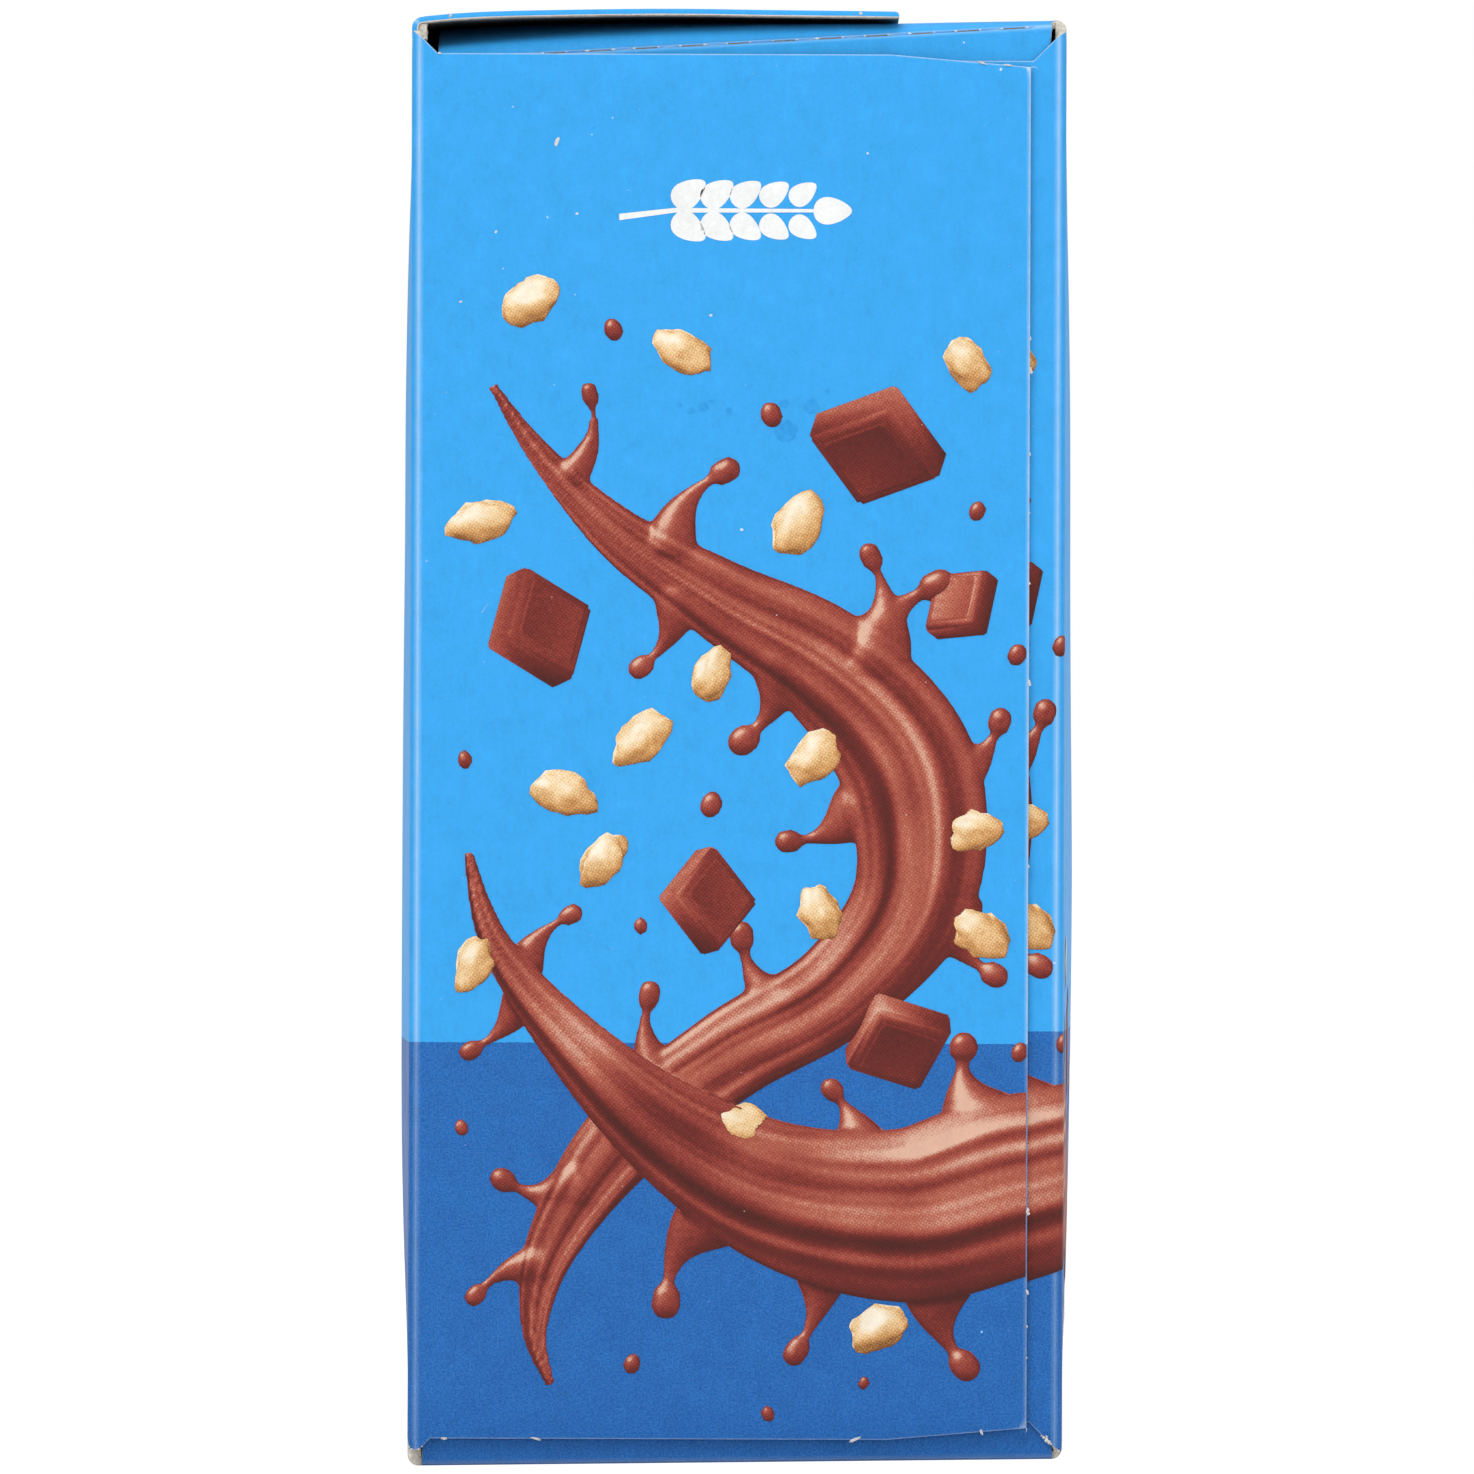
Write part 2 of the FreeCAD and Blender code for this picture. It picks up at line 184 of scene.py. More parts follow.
def stations(start, end, step, fine=(), ends=(True, True)):
    """Places from start to end: close together at the ends named and about a step apart elsewhere."""
    close = (0.0, 0.03, 0.07, 0.12, 0.22, 0.4, 0.8)
    length = end - start
    places = set()
    if ends[0]:
        places.update(start + c for c in close if c < length / 2)
    if ends[1]:
        places.update(end - c for c in close if c < length / 2)
    first = close[-1] if ends[0] else 0.0
    last = close[-1] if ends[1] else 0.0
    count = max(1, math.ceil((length - first - last) / step))
    places.update(start + first + (length - first - last) * i / count for i in range(count + 1))
    places.update(p for p in fine if start < p < end)
    places.update((start, end))
    ordered = sorted(places)
    kept = ordered[:1]
    for place in ordered[1:]:
        if place - kept[-1] > 0.004 or place == end:
            kept.append(place)
    return kept


# ---------------------------------------------------------------- sheets of board


def distance_to(point, a, b):
    """Distance from a point to the segment from a to b."""
    along = b - a
    share = (point - a).dot(along) / along.length_squared
    return (point - a - along * min(max(share, 0.0), 1.0)).length


def edge_distance(point, cuts):
    return min((distance_to(point, a, b) for a, b in cuts), default=NO_CUT_NEAR)


def cut_edges(lower, upper):
    """Cut edges along a sheet's two sides and between their last places."""
    sides = [(Vector(a), Vector(b)) for line in (lower, upper) for a, b in zip(line, line[1:])]
    return [*sides, (Vector(lower[-1]), Vector(upper[-1]))]


def pressed(distance, rounding):
    """How deep the face lies at a distance from a cut edge that is rounded over."""
    inside = max(1.0 - distance / rounding, 0.0)
    return rounding * (1.0 - math.sqrt(max(1.0 - inside * inside, 0.0)))


def face_normal(surface, u, v):
    step = 0.02
    along = surface(u + step, v) - surface(u - step, v)
    across = surface(u, v + step) - surface(u, v - step)
    return along.cross(across).normalized()


def build_sheet(name, grid, surface, facts, cuts, outward, rounding=EDGE_ROUND, crush=0.04,
                rolled=False, seed=0):
    """Makes a sheet of board with a printed face, rounded cut edges, a raw rim and a grey back.

    grid holds rows of flat places (u, v), surface(u, v) is the place of the printed face, facts(u, v)
    gives the height above the dark band and the distance to a fold, cuts are the flat cut edges, and
    outward points roughly out of the printed face at the last row's middle. A cut edge is rounded
    over on the printed face and crushed thinner from the back; a rolled one keeps its ink halfway.
    """
    rows = len(grid)
    columns = len(grid[0])
    side = 1 if face_normal(surface, *grid[-1][columns // 2]).dot(Vector(outward)) > 0 else -1
    verts = []
    marks = []
    normals = []
    for row in grid:
        for u, v in row:
            cut = edge_distance(Vector((u, v)), cuts)
            band, fold = facts(u, v)
            normal = face_normal(surface, u, v) * side
            verts.append(surface(u, v) - normal * pressed(cut, rounding))
            normals.append(normal)
            marks.append((u, v, band, cut, fold))
    count = rows * columns
    for i in range(count):
        u, v, _, cut, _ = marks[i]
        verts.append(surface(u, v) - normals[i] * (BOARD - pressed(cut, crush)))
    faces = []
    kinds = []

    def quad(corners, kind):
        faces.append(corners[::side])
        kinds.append(kind)

    for i in range(rows - 1):
        for j in range(columns - 1):
            a = i * columns + j
            quad((a, a + columns, a + columns + 1, a + 1), PRINTED)
            a += count
            quad((a, a + 1, a + columns + 1, a + columns), BACK)
    border = list(range(columns))
    border += [i * columns + columns - 1 for i in range(1, rows)]
    border += [(rows - 1) * columns + j for j in range(columns - 2, -1, -1)]
    border += [i * columns for i in range(rows - 2, 0, -1)]
    middle = {}
    for index in border:
        ragged = noise.noise(verts[index] * 3.1 + Vector((seed, 0, 0)))
        place = verts[index].lerp(verts[index + count], 0.5 + 0.12 * ragged)
        middle[index] = len(verts)
        verts.append(place)
        marks.append(marks[index])
    for here, there in zip(border, border[1:] + border[:1]):
        quad((here, there, middle[there], middle[here]), PRINTED if rolled else RAW)
        quad((middle[here], middle[there], there + count, here + count), RAW)
    marks = marks[:count] + marks[:count] + marks[count:]
    us, vs, bands, cut_marks, folds = zip(*marks)
    mesh = marked_mesh(name, verts, faces, zip(us, vs), band=bands, cut=cut_marks, fold=folds)
    mesh.polygons.foreach_set("material_index", kinds)
    mesh.set_sharp_from_angle(angle=math.radians(50))
    return linked(name, mesh)


def linked(name, data):
    """New object in the scene."""
    item = bpy.data.objects.new(name, data)
    bpy.context.scene.collection.objects.link(item)
    return item


def mesh_of(name, solid):
    """Mesh made of a bmesh, which is freed."""
    mesh = bpy.data.meshes.new(name)
    solid.to_mesh(mesh)
    solid.free()
    return mesh


def marked_mesh(name, verts, faces, flat, **marks):
    """Smooth mesh from millimetre vertices, with their flat places (u, v) and marks as attributes."""
    mesh = bpy.data.meshes.new(name)
    mesh.from_pydata([v * MM for v in verts], [], faces)
    mesh.polygons.foreach_set("use_smooth", [True] * len(faces))
    board = mesh.attributes.new("board", "FLOAT_VECTOR", "POINT")
    board.data.foreach_set("vector", [c for u, v in flat for c in (u, v, 0.0)])
    for label, values in marks.items():
        mesh.attributes.new(label, "FLOAT", "POINT").data.foreach_set("value", values)
    mesh.update()
    return mesh


def finish_piece(piece, slot, *nodes):
    """Dresses a sheet, sets it on its body and lets it stand for its CAD nodes."""
    piece.data.materials.append(coated_print())
    for name in ("raw_cut_board", "grey_board_back", "shaded_inside"):
        piece.data.materials.append(plain_board(name))
    settle(piece, slot, *nodes)


def settle(piece, slot, *nodes):
    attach(piece, "root")
    if nodes:
        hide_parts(*nodes)


# ---------------------------------------------------------------- shape of the tube


# Straight and round runs of the tube's outline, from the lap's leg round to the lid's free edge.
RUNS = (
    ("left", (left(LEDGE), LEDGE), (LEFT_LOW, FOLD)),
    ("fold", (LEFT_LOW + FOLD, FOLD), math.pi),
    ("bottom", (LEFT_LOW + FOLD, 0.0), (right(0) - FOLD, 0.0)),
    ("fold", (right(0) - FOLD, FOLD), 1.5 * math.pi),
    ("right", (right(0), FOLD), (right(TOP), TOP - FOLD)),
    ("fold", (right(TOP) - FOLD, TOP - FOLD), 2 * math.pi),
    ("top", (right(TOP) - FOLD, TOP), (LEFT_HIGH + BOARD + FREE_GAP, TOP)),
)
FOLD_RUNS = (1, 3, 5)
BOTTOM_RUN = 2
RIGHT_RUN = 4
LID_RUN = 6


def run_length(run):
    if run[0] == "fold":
        return FOLD * math.pi / 2
    return (Vector(run[2]) - Vector(run[1])).length


STARTS = [sum(run_length(run) for run in RUNS[:i]) for i in range(len(RUNS) + 1)]
TUBE_LENGTH = STARTS[-1]
LID_WIDTH = run_length(RUNS[LID_RUN])


def round_fold(center, angle, y):
    """Place on the outside of a fold round its center (x, z)."""
    return Vector((center[0] + FOLD * math.cos(angle), y, center[1] + FOLD * math.sin(angle)))


def run_at(s):
    """Number of the run that a place round the tube lies in."""
    return max([i for i in range(len(RUNS)) if s >= STARTS[i]], default=0)


def sag(s, y, seed):
    """Slow unevenness of a full, handled panel."""
    return size("panel_waviness") * noise.noise(Vector((s / 17.0, y / 23.0, seed)))


def tube_surface(s, y):
    """Place on the outside of the tube: s round it from the lap's leg, y along it."""
    i = run_at(s)
    run = RUNS[i]
    t = (s - STARTS[i]) / run_length(run)
    if run[0] == "fold":
        return round_fold(run[1], run[2] + t * math.pi / 2, y)
    x = blend(run[1][0], run[2][0], t)
    z = blend(run[1][1], run[2][1], t)
    rise = (2 * t - 1) * (1 if run[1][1] < run[2][1] else -1)
    swell = (1.0 - min(abs(rise), 1.0) ** BULGE_FULLNESS) * (1.0 - BULGE_SAG * rise)
    swell *= 1.0 - (y / BODY_END) ** 2
    if run[0] == "left":
        x -= swell * (PANEL_BULGE + sag(s, y, 3.0))
    elif run[0] == "right":
        x += swell * (PANEL_BULGE + sag(s, y, 9.0))
    elif run[0] == "top":
        z = lid_height(x, y, t)
    return Vector((x, y, z))


def lid_height(x, y, t):
    """Height of the inner top panel, drawn down to the sunk crease at either end."""
    full = crown(x)
    inward = BODY_END - abs(y)
    freedom = min(t, 1.0)
    back = min(inward / blend(HELD_SINK_RUN, SINK_RUN, freedom), 1.0)
    drop = (full - crease_height(x)) * smooth(t * LID_WIDTH / LID_EDGE_RAMP)
    rolled = blend(HELD_ROLL_SHARE, ROLL_SHARE, freedom)
    return full - drop * blend((1.0 - back) ** LID_CURVE, math.exp(-inward / LID_ROLL), rolled)


def tube_facts(s, y):
    """Height above the dark band and distance to the nearest long fold, at a place on the tube."""
    i = run_at(s)
    fold = min(abs(s - (STARTS[k] + STARTS[k + 1]) / 2) for k in FOLD_RUNS)
    if i == BOTTOM_RUN:
        return -PAST_BAND, fold
    return tube_surface(s, BODY_END).z - size("outer_band" if i < BOTTOM_RUN else "inner_band"), fold


def build_body():
    """Large panels, bottom and lid in one sheet round a dark core that closes every slit."""
    fine = []
    for start, run in zip(STARTS, RUNS):
        if run[0] == "fold":
            fine += [start + run_length(run) * k / 8 for k in range(9)]
    fine += [STARTS[LID_RUN] + k for k in (0.2, 0.4, 0.7, 1.0, 1.3)]
    across = stations(0.0, TUBE_LENGTH, PAPER_STEP, fine, (False, True))
    along = stations(-BODY_END, BODY_END, 2 * PAPER_STEP, [side * (BODY_END - k) for side in (-1, 1)
                                                            for k in (1.5, 2.5, 4, 6, 8, 10, 12)])
    grid = [[(s, y) for y in along] for s in across]
    cuts = [(Vector((TUBE_LENGTH, -BODY_END)), Vector((TUBE_LENGTH, BODY_END)))]
    body = build_sheet("carton_body", grid, tube_surface, tube_facts, cuts, (0, 0, 1))
    add_core(body)
    finish_piece(body, "printed_board", "carton_body")


def add_core(body):
    """Near-black block that stands for the contents behind the slits of the closure; its colour is painted
    shade.
    """
    inset = BOARD + CORE_INSET
    core = bmesh.new()
    core.from_mesh(body.data)
    corners = (
        (left(0) + inset, BOARD + 0.15),
        (right(0) - inset, BOARD + 0.15),
        (right(TOP) - inset, TOP - 1.2),
        (left(TOP) + inset + 0.2, TOP - 4.4),
    )
    rings = [[core.verts.new(Vector((x, end * (BODY_END - CORE_DEPTH), z)) * MM) for x, z in corners]
             for _, end in ENDS]
    faces = [core.faces.new(rings[0]), core.faces.new(rings[1])]
    for k in range(4):
        faces.append(core.faces.new((rings[0][k], rings[0][k - 1], rings[1][k - 1], rings[1][k])))
    for face in faces:
        face.material_index = DARK
    bmesh.ops.recalc_face_normals(core, faces=faces)
    core.to_mesh(body.data)
    core.free()


# ---------------------------------------------------------------- the lap


def lap_top(x):
    return crown(x) + LAP_LIFT + BOARD


LAP_LEG_TOP = TOP + LAP_LIFT + BOARD - FOLD
LAP_LEG = LAP_LEG_TOP - LEDGE
LAP_ARC = FOLD * math.pi / 2
LAP_FLAT = LAP_TIP - LAP_START


def lap_surface(s, y):
    """Place on the outside of the lap: s up its leg, round its fold and over to the free edge."""
    if s <= LAP_LEG:
        return Vector((LEFT_HIGH, y, LEDGE + s))
    if s <= LAP_LEG + LAP_ARC:
        return round_fold((LAP_START, LAP_LEG_TOP), math.pi - (s - LAP_LEG) / FOLD, y)
    x = LAP_START + s - LAP_LEG - LAP_ARC
    share = (x - LAP_START) / LAP_FLAT
    lift = 0.05 * noise.noise(Vector((x / 9.0, y / 14.0, 5.0))) * smooth(share * 4)
    return Vector((x, y, lap_top(x) + lift))


def build_lap():
    """Outer lap: up its leg, round the long fold and over the lid to its rolled free edge."""
    total = LAP_LEG + LAP_ARC + LAP_FLAT
    fine = [LAP_LEG + LAP_ARC * k / 10 for k in range(11)]
    across = stations(0.0, total, PAPER_STEP, fine, (False, True))
    along = stations(-LAP_END, LAP_END, 2 * PAPER_STEP)
    grid = [[(s, y) for y in along] for s in across]
    cuts = cut_edges(*([(0, side), (total, side)] for side in (-LAP_END, LAP_END)))

    def facts(s, y):
        return PAST_BAND, abs(s - LAP_LEG - LAP_ARC / 2)

    lap = build_sheet("top_outer_lap", grid, lap_surface, facts, cuts, (0, 0, 1), LAP_EDGE_ROUND,
                      LAP_CRUSH, rolled=True, seed=4)
    for distance in lap.data.attributes["cut"].data:
        distance.value += LAP_EDGE_ROUND
    finish_piece(lap, "printed_board", "top_outer_lap")


# ---------------------------------------------------------------- end flaps


def stepped(x, places):
    """Height at x on an outline given as (x, height) places from left to right."""
    for (x0, h0), (x1, h1) in zip(places, places[1:]):
        if x <= x1:
            return h0 if x <= x0 else blend(h0, h1, (x - x0) / (x1 - x0))
    return places[-1][1]


def hinge_path(s, plane):
    """Across and outward place at s along a flap's board, from the tube's end round the hinge.

    plane is how far the flap's outside lies beyond the end of the tube.
    """
    straight = plane - FOLD
    if s <= straight:
        return 0.0, s
    if s <= straight + LAP_ARC:
        angle = (s - straight) / FOLD
        return FOLD - FOLD * math.cos(angle), straight + FOLD * math.sin(angle)
    return FOLD + s - straight - LAP_ARC, plane


FLAP_STEPS = 48            # steps up a hinged flap
HINGE_MARK = 0.8           # share of a hinge's arc at which its pale wear and painted highlight are strongest
OUTER_PLANE = END - BODY_END
INNER_PLANE = OUTER_PLANE - BOARD
OUTER_LOWER = (
    (HINGE_NOTCH, OUTER_NOTCH_LOW),
    (HINGE_NOTCH + OUTER_LOW - OUTER_NOTCH_LOW, OUTER_LOW),
    (OUTER_REACH - OUTER_TAPER, OUTER_LOW),
    (OUTER_REACH, OUTER_LOW + OUTER_TAPER_DROP),
)
OUTER_UPPER = (
    (0.0, OUTER_NOTCH_HIGH),
    (0.02, OUTER_NOTCH_HIGH + OUTER_EAR),
    (HINGE_NOTCH, OUTER_NOTCH_HIGH),
    (HINGE_NOTCH + OUTER_NOTCH_HIGH - OUTER_HIGH, OUTER_HIGH),
    (OUTER_REACH - OUTER_TAPER, OUTER_HIGH),
    (OUTER_REACH, OUTER_HIGH - OUTER_TAPER_DROP),
)


def inner_outline(height, way):
    """Lower (way 1) or upper (way -1) outline of the inner flap, whose straight part is at a height."""
    return (
        (0.0, height - way * (INNER_NOTCH_RUN - HINGE_NOTCH + INNER_EAR)),
        (HINGE_NOTCH, height - way * (INNER_NOTCH_RUN - HINGE_NOTCH)),
        (INNER_NOTCH_RUN, height),
        (INNER_REACH - INNER_CORNER, height),
        (INNER_REACH, height + way * INNER_CORNER),
    )


INNER_LOWER = inner_outline(INNER_LOW, 1)
INNER_UPPER = inner_outline(INNER_HIGH, -1)


def flap_wave(x, v):
    """How far the glued outer flap stands off: nothing at its hinge, a little along its free edge."""
    loose = smooth(x / OUTER_REACH) ** 2
    return loose * (size("flap_standoff") + 0.06 * noise.noise(Vector((x / 12.0, v / 11.0, 2.0))))


def leaning(across, v):
    """Place in x and height from the tube's corner, for a place across a flap and v up its hinge."""
    up = v - FOLD
    return (across * math.cos(LEAN) + up * math.sin(LEAN),
            FOLD + up * math.cos(LEAN) - across * math.sin(LEAN))


def outer_place(x, out, v, end):
    """Place of the outer flap: x across it, out beyond the tube's end, v up its leaning hinge."""
    side, up = leaning(x, v)
    return Vector((LEFT_LOW + side, end * (BODY_END + out), up))


def inner_place(x, out, v, end):
    """The same for the inner flap, whose hinge is at +X."""
    side, up = leaning(-x, v)
    return Vector((right(0) + side, end * (BODY_END + out), up))


def build_end_flap(label, end, place, plane, lower, upper, reach, seed):
    """One hinged flap: columns run up the hinge, rows run out to the free edge."""
    extra = plane - 2 * FOLD + LAP_ARC
    length = reach + extra
    straight = plane - FOLD
    outer = place is outer_place

    def across(s):
        return hinge_path(s, plane)[0]

    def along(x):
        """Place along the board of a place across the flap, the other way round."""
        if x < FOLD:
            return straight + FOLD * math.acos(1.0 - x / FOLD)
        return x + extra

    def surface(s, v):
        x, out = hinge_path(s, plane)
        if outer:
            out += flap_wave(x, v)
        return place(x, out, v, end)

    fine = [straight + LAP_ARC * k / 10 for k in range(11)]
    fine += [along(x) for x, _ in lower + upper]
    columns = stations(0.0, length, PAPER_STEP, fine, (False, True))
    heights = stations(0.0, 1.0, 1.0 / FLAP_STEPS, [k / (TOP - 4) for k in (0.03, 0.07, 0.12, 0.25, 0.6)],
                       (False, False))
    heights = sorted(set(heights + [1.0 - h for h in heights]))
    grid = [[(s, blend(stepped(across(s), lower), stepped(across(s), upper), h)) for h in heights]
            for s in columns]
    lines = [[(0.0, line[0][1])] + [(along(x), h) for x, h in line] for line in (lower, upper)]
    band = size("outer_band") if outer else size("inner_band")

    def facts(s, v):
        return surface(s, v).z - band + (across(s) * math.sin(LEAN) * (1 if outer else -1)), \
            abs(s - straight - HINGE_MARK * LAP_ARC)

    name = label + ("outer" if outer else "inner") + "_end_flap"
    flap = build_sheet(name, grid, surface, facts, cut_edges(*lines), (0, end, 0), seed=seed)
    if outer:
        for cut, board in zip(flap.data.attributes["cut"].data, flap.data.attributes["board"].data):
            if board.vector.x > length - FREE_EDGE_STRIP:
                cut.value *= FREE_EDGE_SHARE
    finish_piece(flap, "printed_flap", name)


def build_end_flaps():
    for label, end in ENDS:
        build_end_flap(label, end, outer_place, OUTER_PLANE, OUTER_LOWER, OUTER_UPPER, OUTER_REACH, 11 + end)
        build_end_flap(label, end, inner_place, INNER_PLANE, INNER_LOWER, INNER_UPPER, INNER_REACH, 21 + end)


# ---------------------------------------------------------------- dust flaps


def perforation_cuts(width):
    """Start of each cut along a crease of this width."""
    cuts = []
    place = width - CUT_INSET - size("cut_length")
    while place > CUT_INSET:
        cuts.append(place)
        place -= size("cut_pitch")
    return cuts


def build_dust_flap(label, end, top):
    """Flap folded over the tube's end from the lid (top) or from the bottom panel."""
    name = label + ("top" if top else "bottom") + "_dust_flap"
    x_low = low(name).x
    width = high(name).x - x_low
    arc = BOARD * math.pi / 2
    tilt = math.atan(CREASE_RISE) if top else 0.0
    cuts_at = perforation_cuts(width) if top else []

    def surface(s, x):
        """s down from the start of the fold, x across."""
        out = down = BOARD
        if s < arc:
            angle = max(s, 0.0) / BOARD
            out = BOARD * math.sin(angle)
            down = BOARD - BOARD * math.cos(angle) + min(s, 0.0)
        else:
            down += s - arc
        z = crease_height(x_low) + x * math.sin(tilt) - down if top else down
        return Vector((x_low + x, end * (BODY_END + out), z))

    fine_down = [arc * k / 8 for k in range(9)]
    if top:
        fine_down += [arc / 2 + size("cut_width") * k for k in (-1, -0.8, -0.4, 0, 0.4, 0.8, 1)]
    total = DUST_LENGTH + arc - BOARD
    down = stations(0.0, total, 2.5, fine_down, (False, True))
    fine_across = [start + k for start in cuts_at
                   for k in (0, 0.02, size("cut_length") - 0.02, size("cut_length"))]
    shares = stations(0.0, width, 2.0, fine_across)

    def narrowed(s, x):
        """Sides that taper to the free edge and end in slanted corners."""
        inset = DUST_TAPER * max(s / total - 0.02, 0.0) / 0.98 + max(s - (total - DUST_CORNER), 0.0)
        return blend(inset, width - inset, x / width)

    grid = [[(s, narrowed(s, x)) for x in shares] for s in down]
    lines = [[(s, narrowed(s, x)) for s in (arc, total - DUST_CORNER, total)] for x in (0.0, width)]

    def facts(s, x):
        return PAST_BAND if top else -PAST_BAND, abs(s - arc / 2)

    flap = build_sheet(name, grid, surface, facts, cut_edges(*lines), (0, end, 0), seed=31 + end)
    if top:
        sink_cuts(flap, cuts_at, arc, end)
    finish_piece(flap, "printed_board", name)


def sink_cuts(flap, cuts_at, arc, end):
    """Sinks each perforation cut into the printed face of the fold and bares its floor."""
    board = flap.data.attributes["board"].data
    front = {v for p in flap.data.polygons if p.material_index == PRINTED for v in p.vertices}
    inward = Vector((0, -end * math.sqrt(0.5), -math.sqrt(0.5))) * MM
    for index in front:
        s, x, _ = board[index].vector
        groove = max(1.0 - abs(s - arc / 2) / size("cut_width"), 0.0)
        if any(start - 0.001 <= x <= start + size("cut_length") + 0.001 for start in cuts_at):
            flap.data.vertices[index].co += inward * CUT_DEPTH * groove
    for polygon in flap.data.polygons:
        places = [board[v].vector for v in polygon.vertices]
        near = all(abs(p.x - arc / 2) < CUT_FLOOR * size("cut_width") for p in places)
        if near and polygon.material_index == PRINTED:
            middle = sum(p.y for p in places) / len(places)
            if any(start + 0.01 < middle < start + size("cut_length") - 0.01 for start in cuts_at):
                polygon.material_index = BACK


def build_dust_flaps():
    for label, end in ENDS:
        build_dust_flap(label, end, True)
        build_dust_flap(label, end, False)


# ---------------------------------------------------------------- node helpers


def linear(hex_colour):
    """Linear RGB from a web colour."""
    parts = [int(hex_colour[k:k + 2], 16) / 255 for k in (1, 3, 5)]
    return [c / 12.92 if c <= 0.04045 else ((c + 0.055) / 1.055) ** 2.4 for c in parts]


def tint(name):
    """One of the carton's colours that a user can change, as RGBA."""
    return [*getattr(bpy.context.scene.carton_colours, name), 1.0]


def feed(tree, sockets, values):
    """Links or sets input sockets by their names or numbers."""
    for key, value in values.items():
        if isinstance(value, bpy.types.NodeSocket):
            tree.links.new(value, sockets[key])
        else:
            sockets[key].default_value = value


def add(tree, kind, inputs=None, **settings):
    """New node with its plain settings and, by socket name or number, its input values or links."""
    node = tree.nodes.new(kind)
    for key, value in settings.items():
        setattr(node, key, value)
    feed(tree, node.inputs, inputs or {})
    return node


def maths(tree, operation, a, b=0.0, c=0.5, clamp=False):
    return add(tree, "ShaderNodeMath", {0: a, 1: b, 2: c}, operation=operation, use_clamp=clamp).outputs[0]


def plus(tree, a, b):
    return maths(tree, "ADD", a, b)


def minus(tree, a, b):
    return maths(tree, "SUBTRACT", a, b)


def times(tree, a, b):
    return maths(tree, "MULTIPLY", a, b)


def remap(tree, value, start, end, to_start=0.0, to_end=1.0, eased=True):
    inputs = {"Value": value, "From Min": start, "From Max": end, "To Min": to_start, "To Max": to_end}
    return add(tree, "ShaderNodeMapRange", inputs,
               interpolation_type="SMOOTHSTEP" if eased else "LINEAR").outputs["Result"]


def mix(tree, share, a, b, blend_type="MIX"):
    return add(tree, "ShaderNodeMix", {0: share, 6: a, 7: b}, data_type="RGBA",
               blend_type=blend_type).outputs[2]


def over(tree, colour, mask, share, name):
    """Lays one of the carton's colours over another, as far as a mask and a share let it."""
    return mix(tree, times(tree, mask, share), colour, tint(name))


def mottled(tree, colour, grain):
    return mix(tree, 1.0, colour, grain["Factor"], "MULTIPLY")


def noise_of(tree, vector, scale, detail=2.0, roughness=0.5):
    inputs = {"Vector": vector, "Scale": scale, "Detail": detail, "Roughness": roughness}
    return add(tree, "ShaderNodeTexNoise", inputs).outputs["Fac"]


def mark(tree, label, output="Fac"):
    """One of the marks that a piece carries on its vertices."""
    return add(tree, "ShaderNodeAttribute", attribute_name=label).outputs[output]


def stretched(tree, vector, scale):
    return add(tree, "ShaderNodeVectorMath", {0: vector, 1: scale}, operation="MULTIPLY").outputs[0]


def object_place(tree):
    """Place on a piece, in millimetres."""
    return stretched(tree, add(tree, "ShaderNodeTexCoord").outputs["Object"], (1 / MM, 1 / MM, 1 / MM))


def effect_group(name, outputs, **inputs):
    """Empty shader group: a Vector and named numbers in, named numbers out.

    Returns its tree, what it is given and its output sockets.
    """
    tree = bpy.data.node_groups.new(name, "ShaderNodeTree")
    tree.interface.new_socket("Vector", in_out="INPUT", socket_type="NodeSocketVector")
    for label, default in inputs.items():
        socket = tree.interface.new_socket(label, in_out="INPUT", socket_type="NodeSocketFloat")
        socket.default_value = default
    for label in outputs:
        tree.interface.new_socket(label, in_out="OUTPUT", socket_type="NodeSocketFloat")
    return tree, tree.nodes.new("NodeGroupInput").outputs, tree.nodes.new("NodeGroupOutput").inputs


def build_mottle(name):
    """Cloudy coverage of ink on coated board, and the board's own fine relief."""
    tree, given, out = effect_group(name, ("Factor", "Height"), Amount=1.0)
    vector = given["Vector"]
    fine = noise_of(tree, vector, 6.5, 3.0, 0.65)
    cloudy = noise_of(tree, vector, 0.9, 3.0, 0.6)
    long_grain = noise_of(tree, stretched(tree, vector, (3.0, 0.35, 1.0)), 1.0, 2.0)
    total = plus(tree, times(tree, fine, 0.34), times(tree, cloudy, 0.30))
    total = plus(tree, total, times(tree, long_grain, 0.14))
    centred = minus(tree, total, 0.39)
    relief = plus(tree, fine, times(tree, noise_of(tree, vector, 2.2, 2.0), 0.8))
    feed(tree, out, {"Factor": plus(tree, times(tree, centred, given["Amount"]), 1.0), "Height": relief})
    return tree


def build_specks(name):
    """Mask of small scattered specks; a lower share keeps fewer of them."""
    tree, given, out = effect_group(name, ("Mask",), Scale=1.0, Size=0.1, Share=0.2)
    wobble = noise_of(tree, given["Vector"], 9.0, 2.0)
    cells = add(tree, "ShaderNodeTexVoronoi",
                {"Vector": given["Vector"], "Scale": given["Scale"], "Randomness": 1.0}).outputs
    lot = add(tree, "ShaderNodeSeparateColor", {0: cells["Color"]}).outputs[0]
    chosen = maths(tree, "LESS_THAN", lot, given["Share"])
    ragged = times(tree, given["Size"], times(tree, wobble, 2.0))
    away = maths(tree, "DIVIDE", cells["Distance"], ragged)
    feed(tree, out, {"Mask": times(tree, remap(tree, away, 1.0, 0.75), chosen)})
    return tree


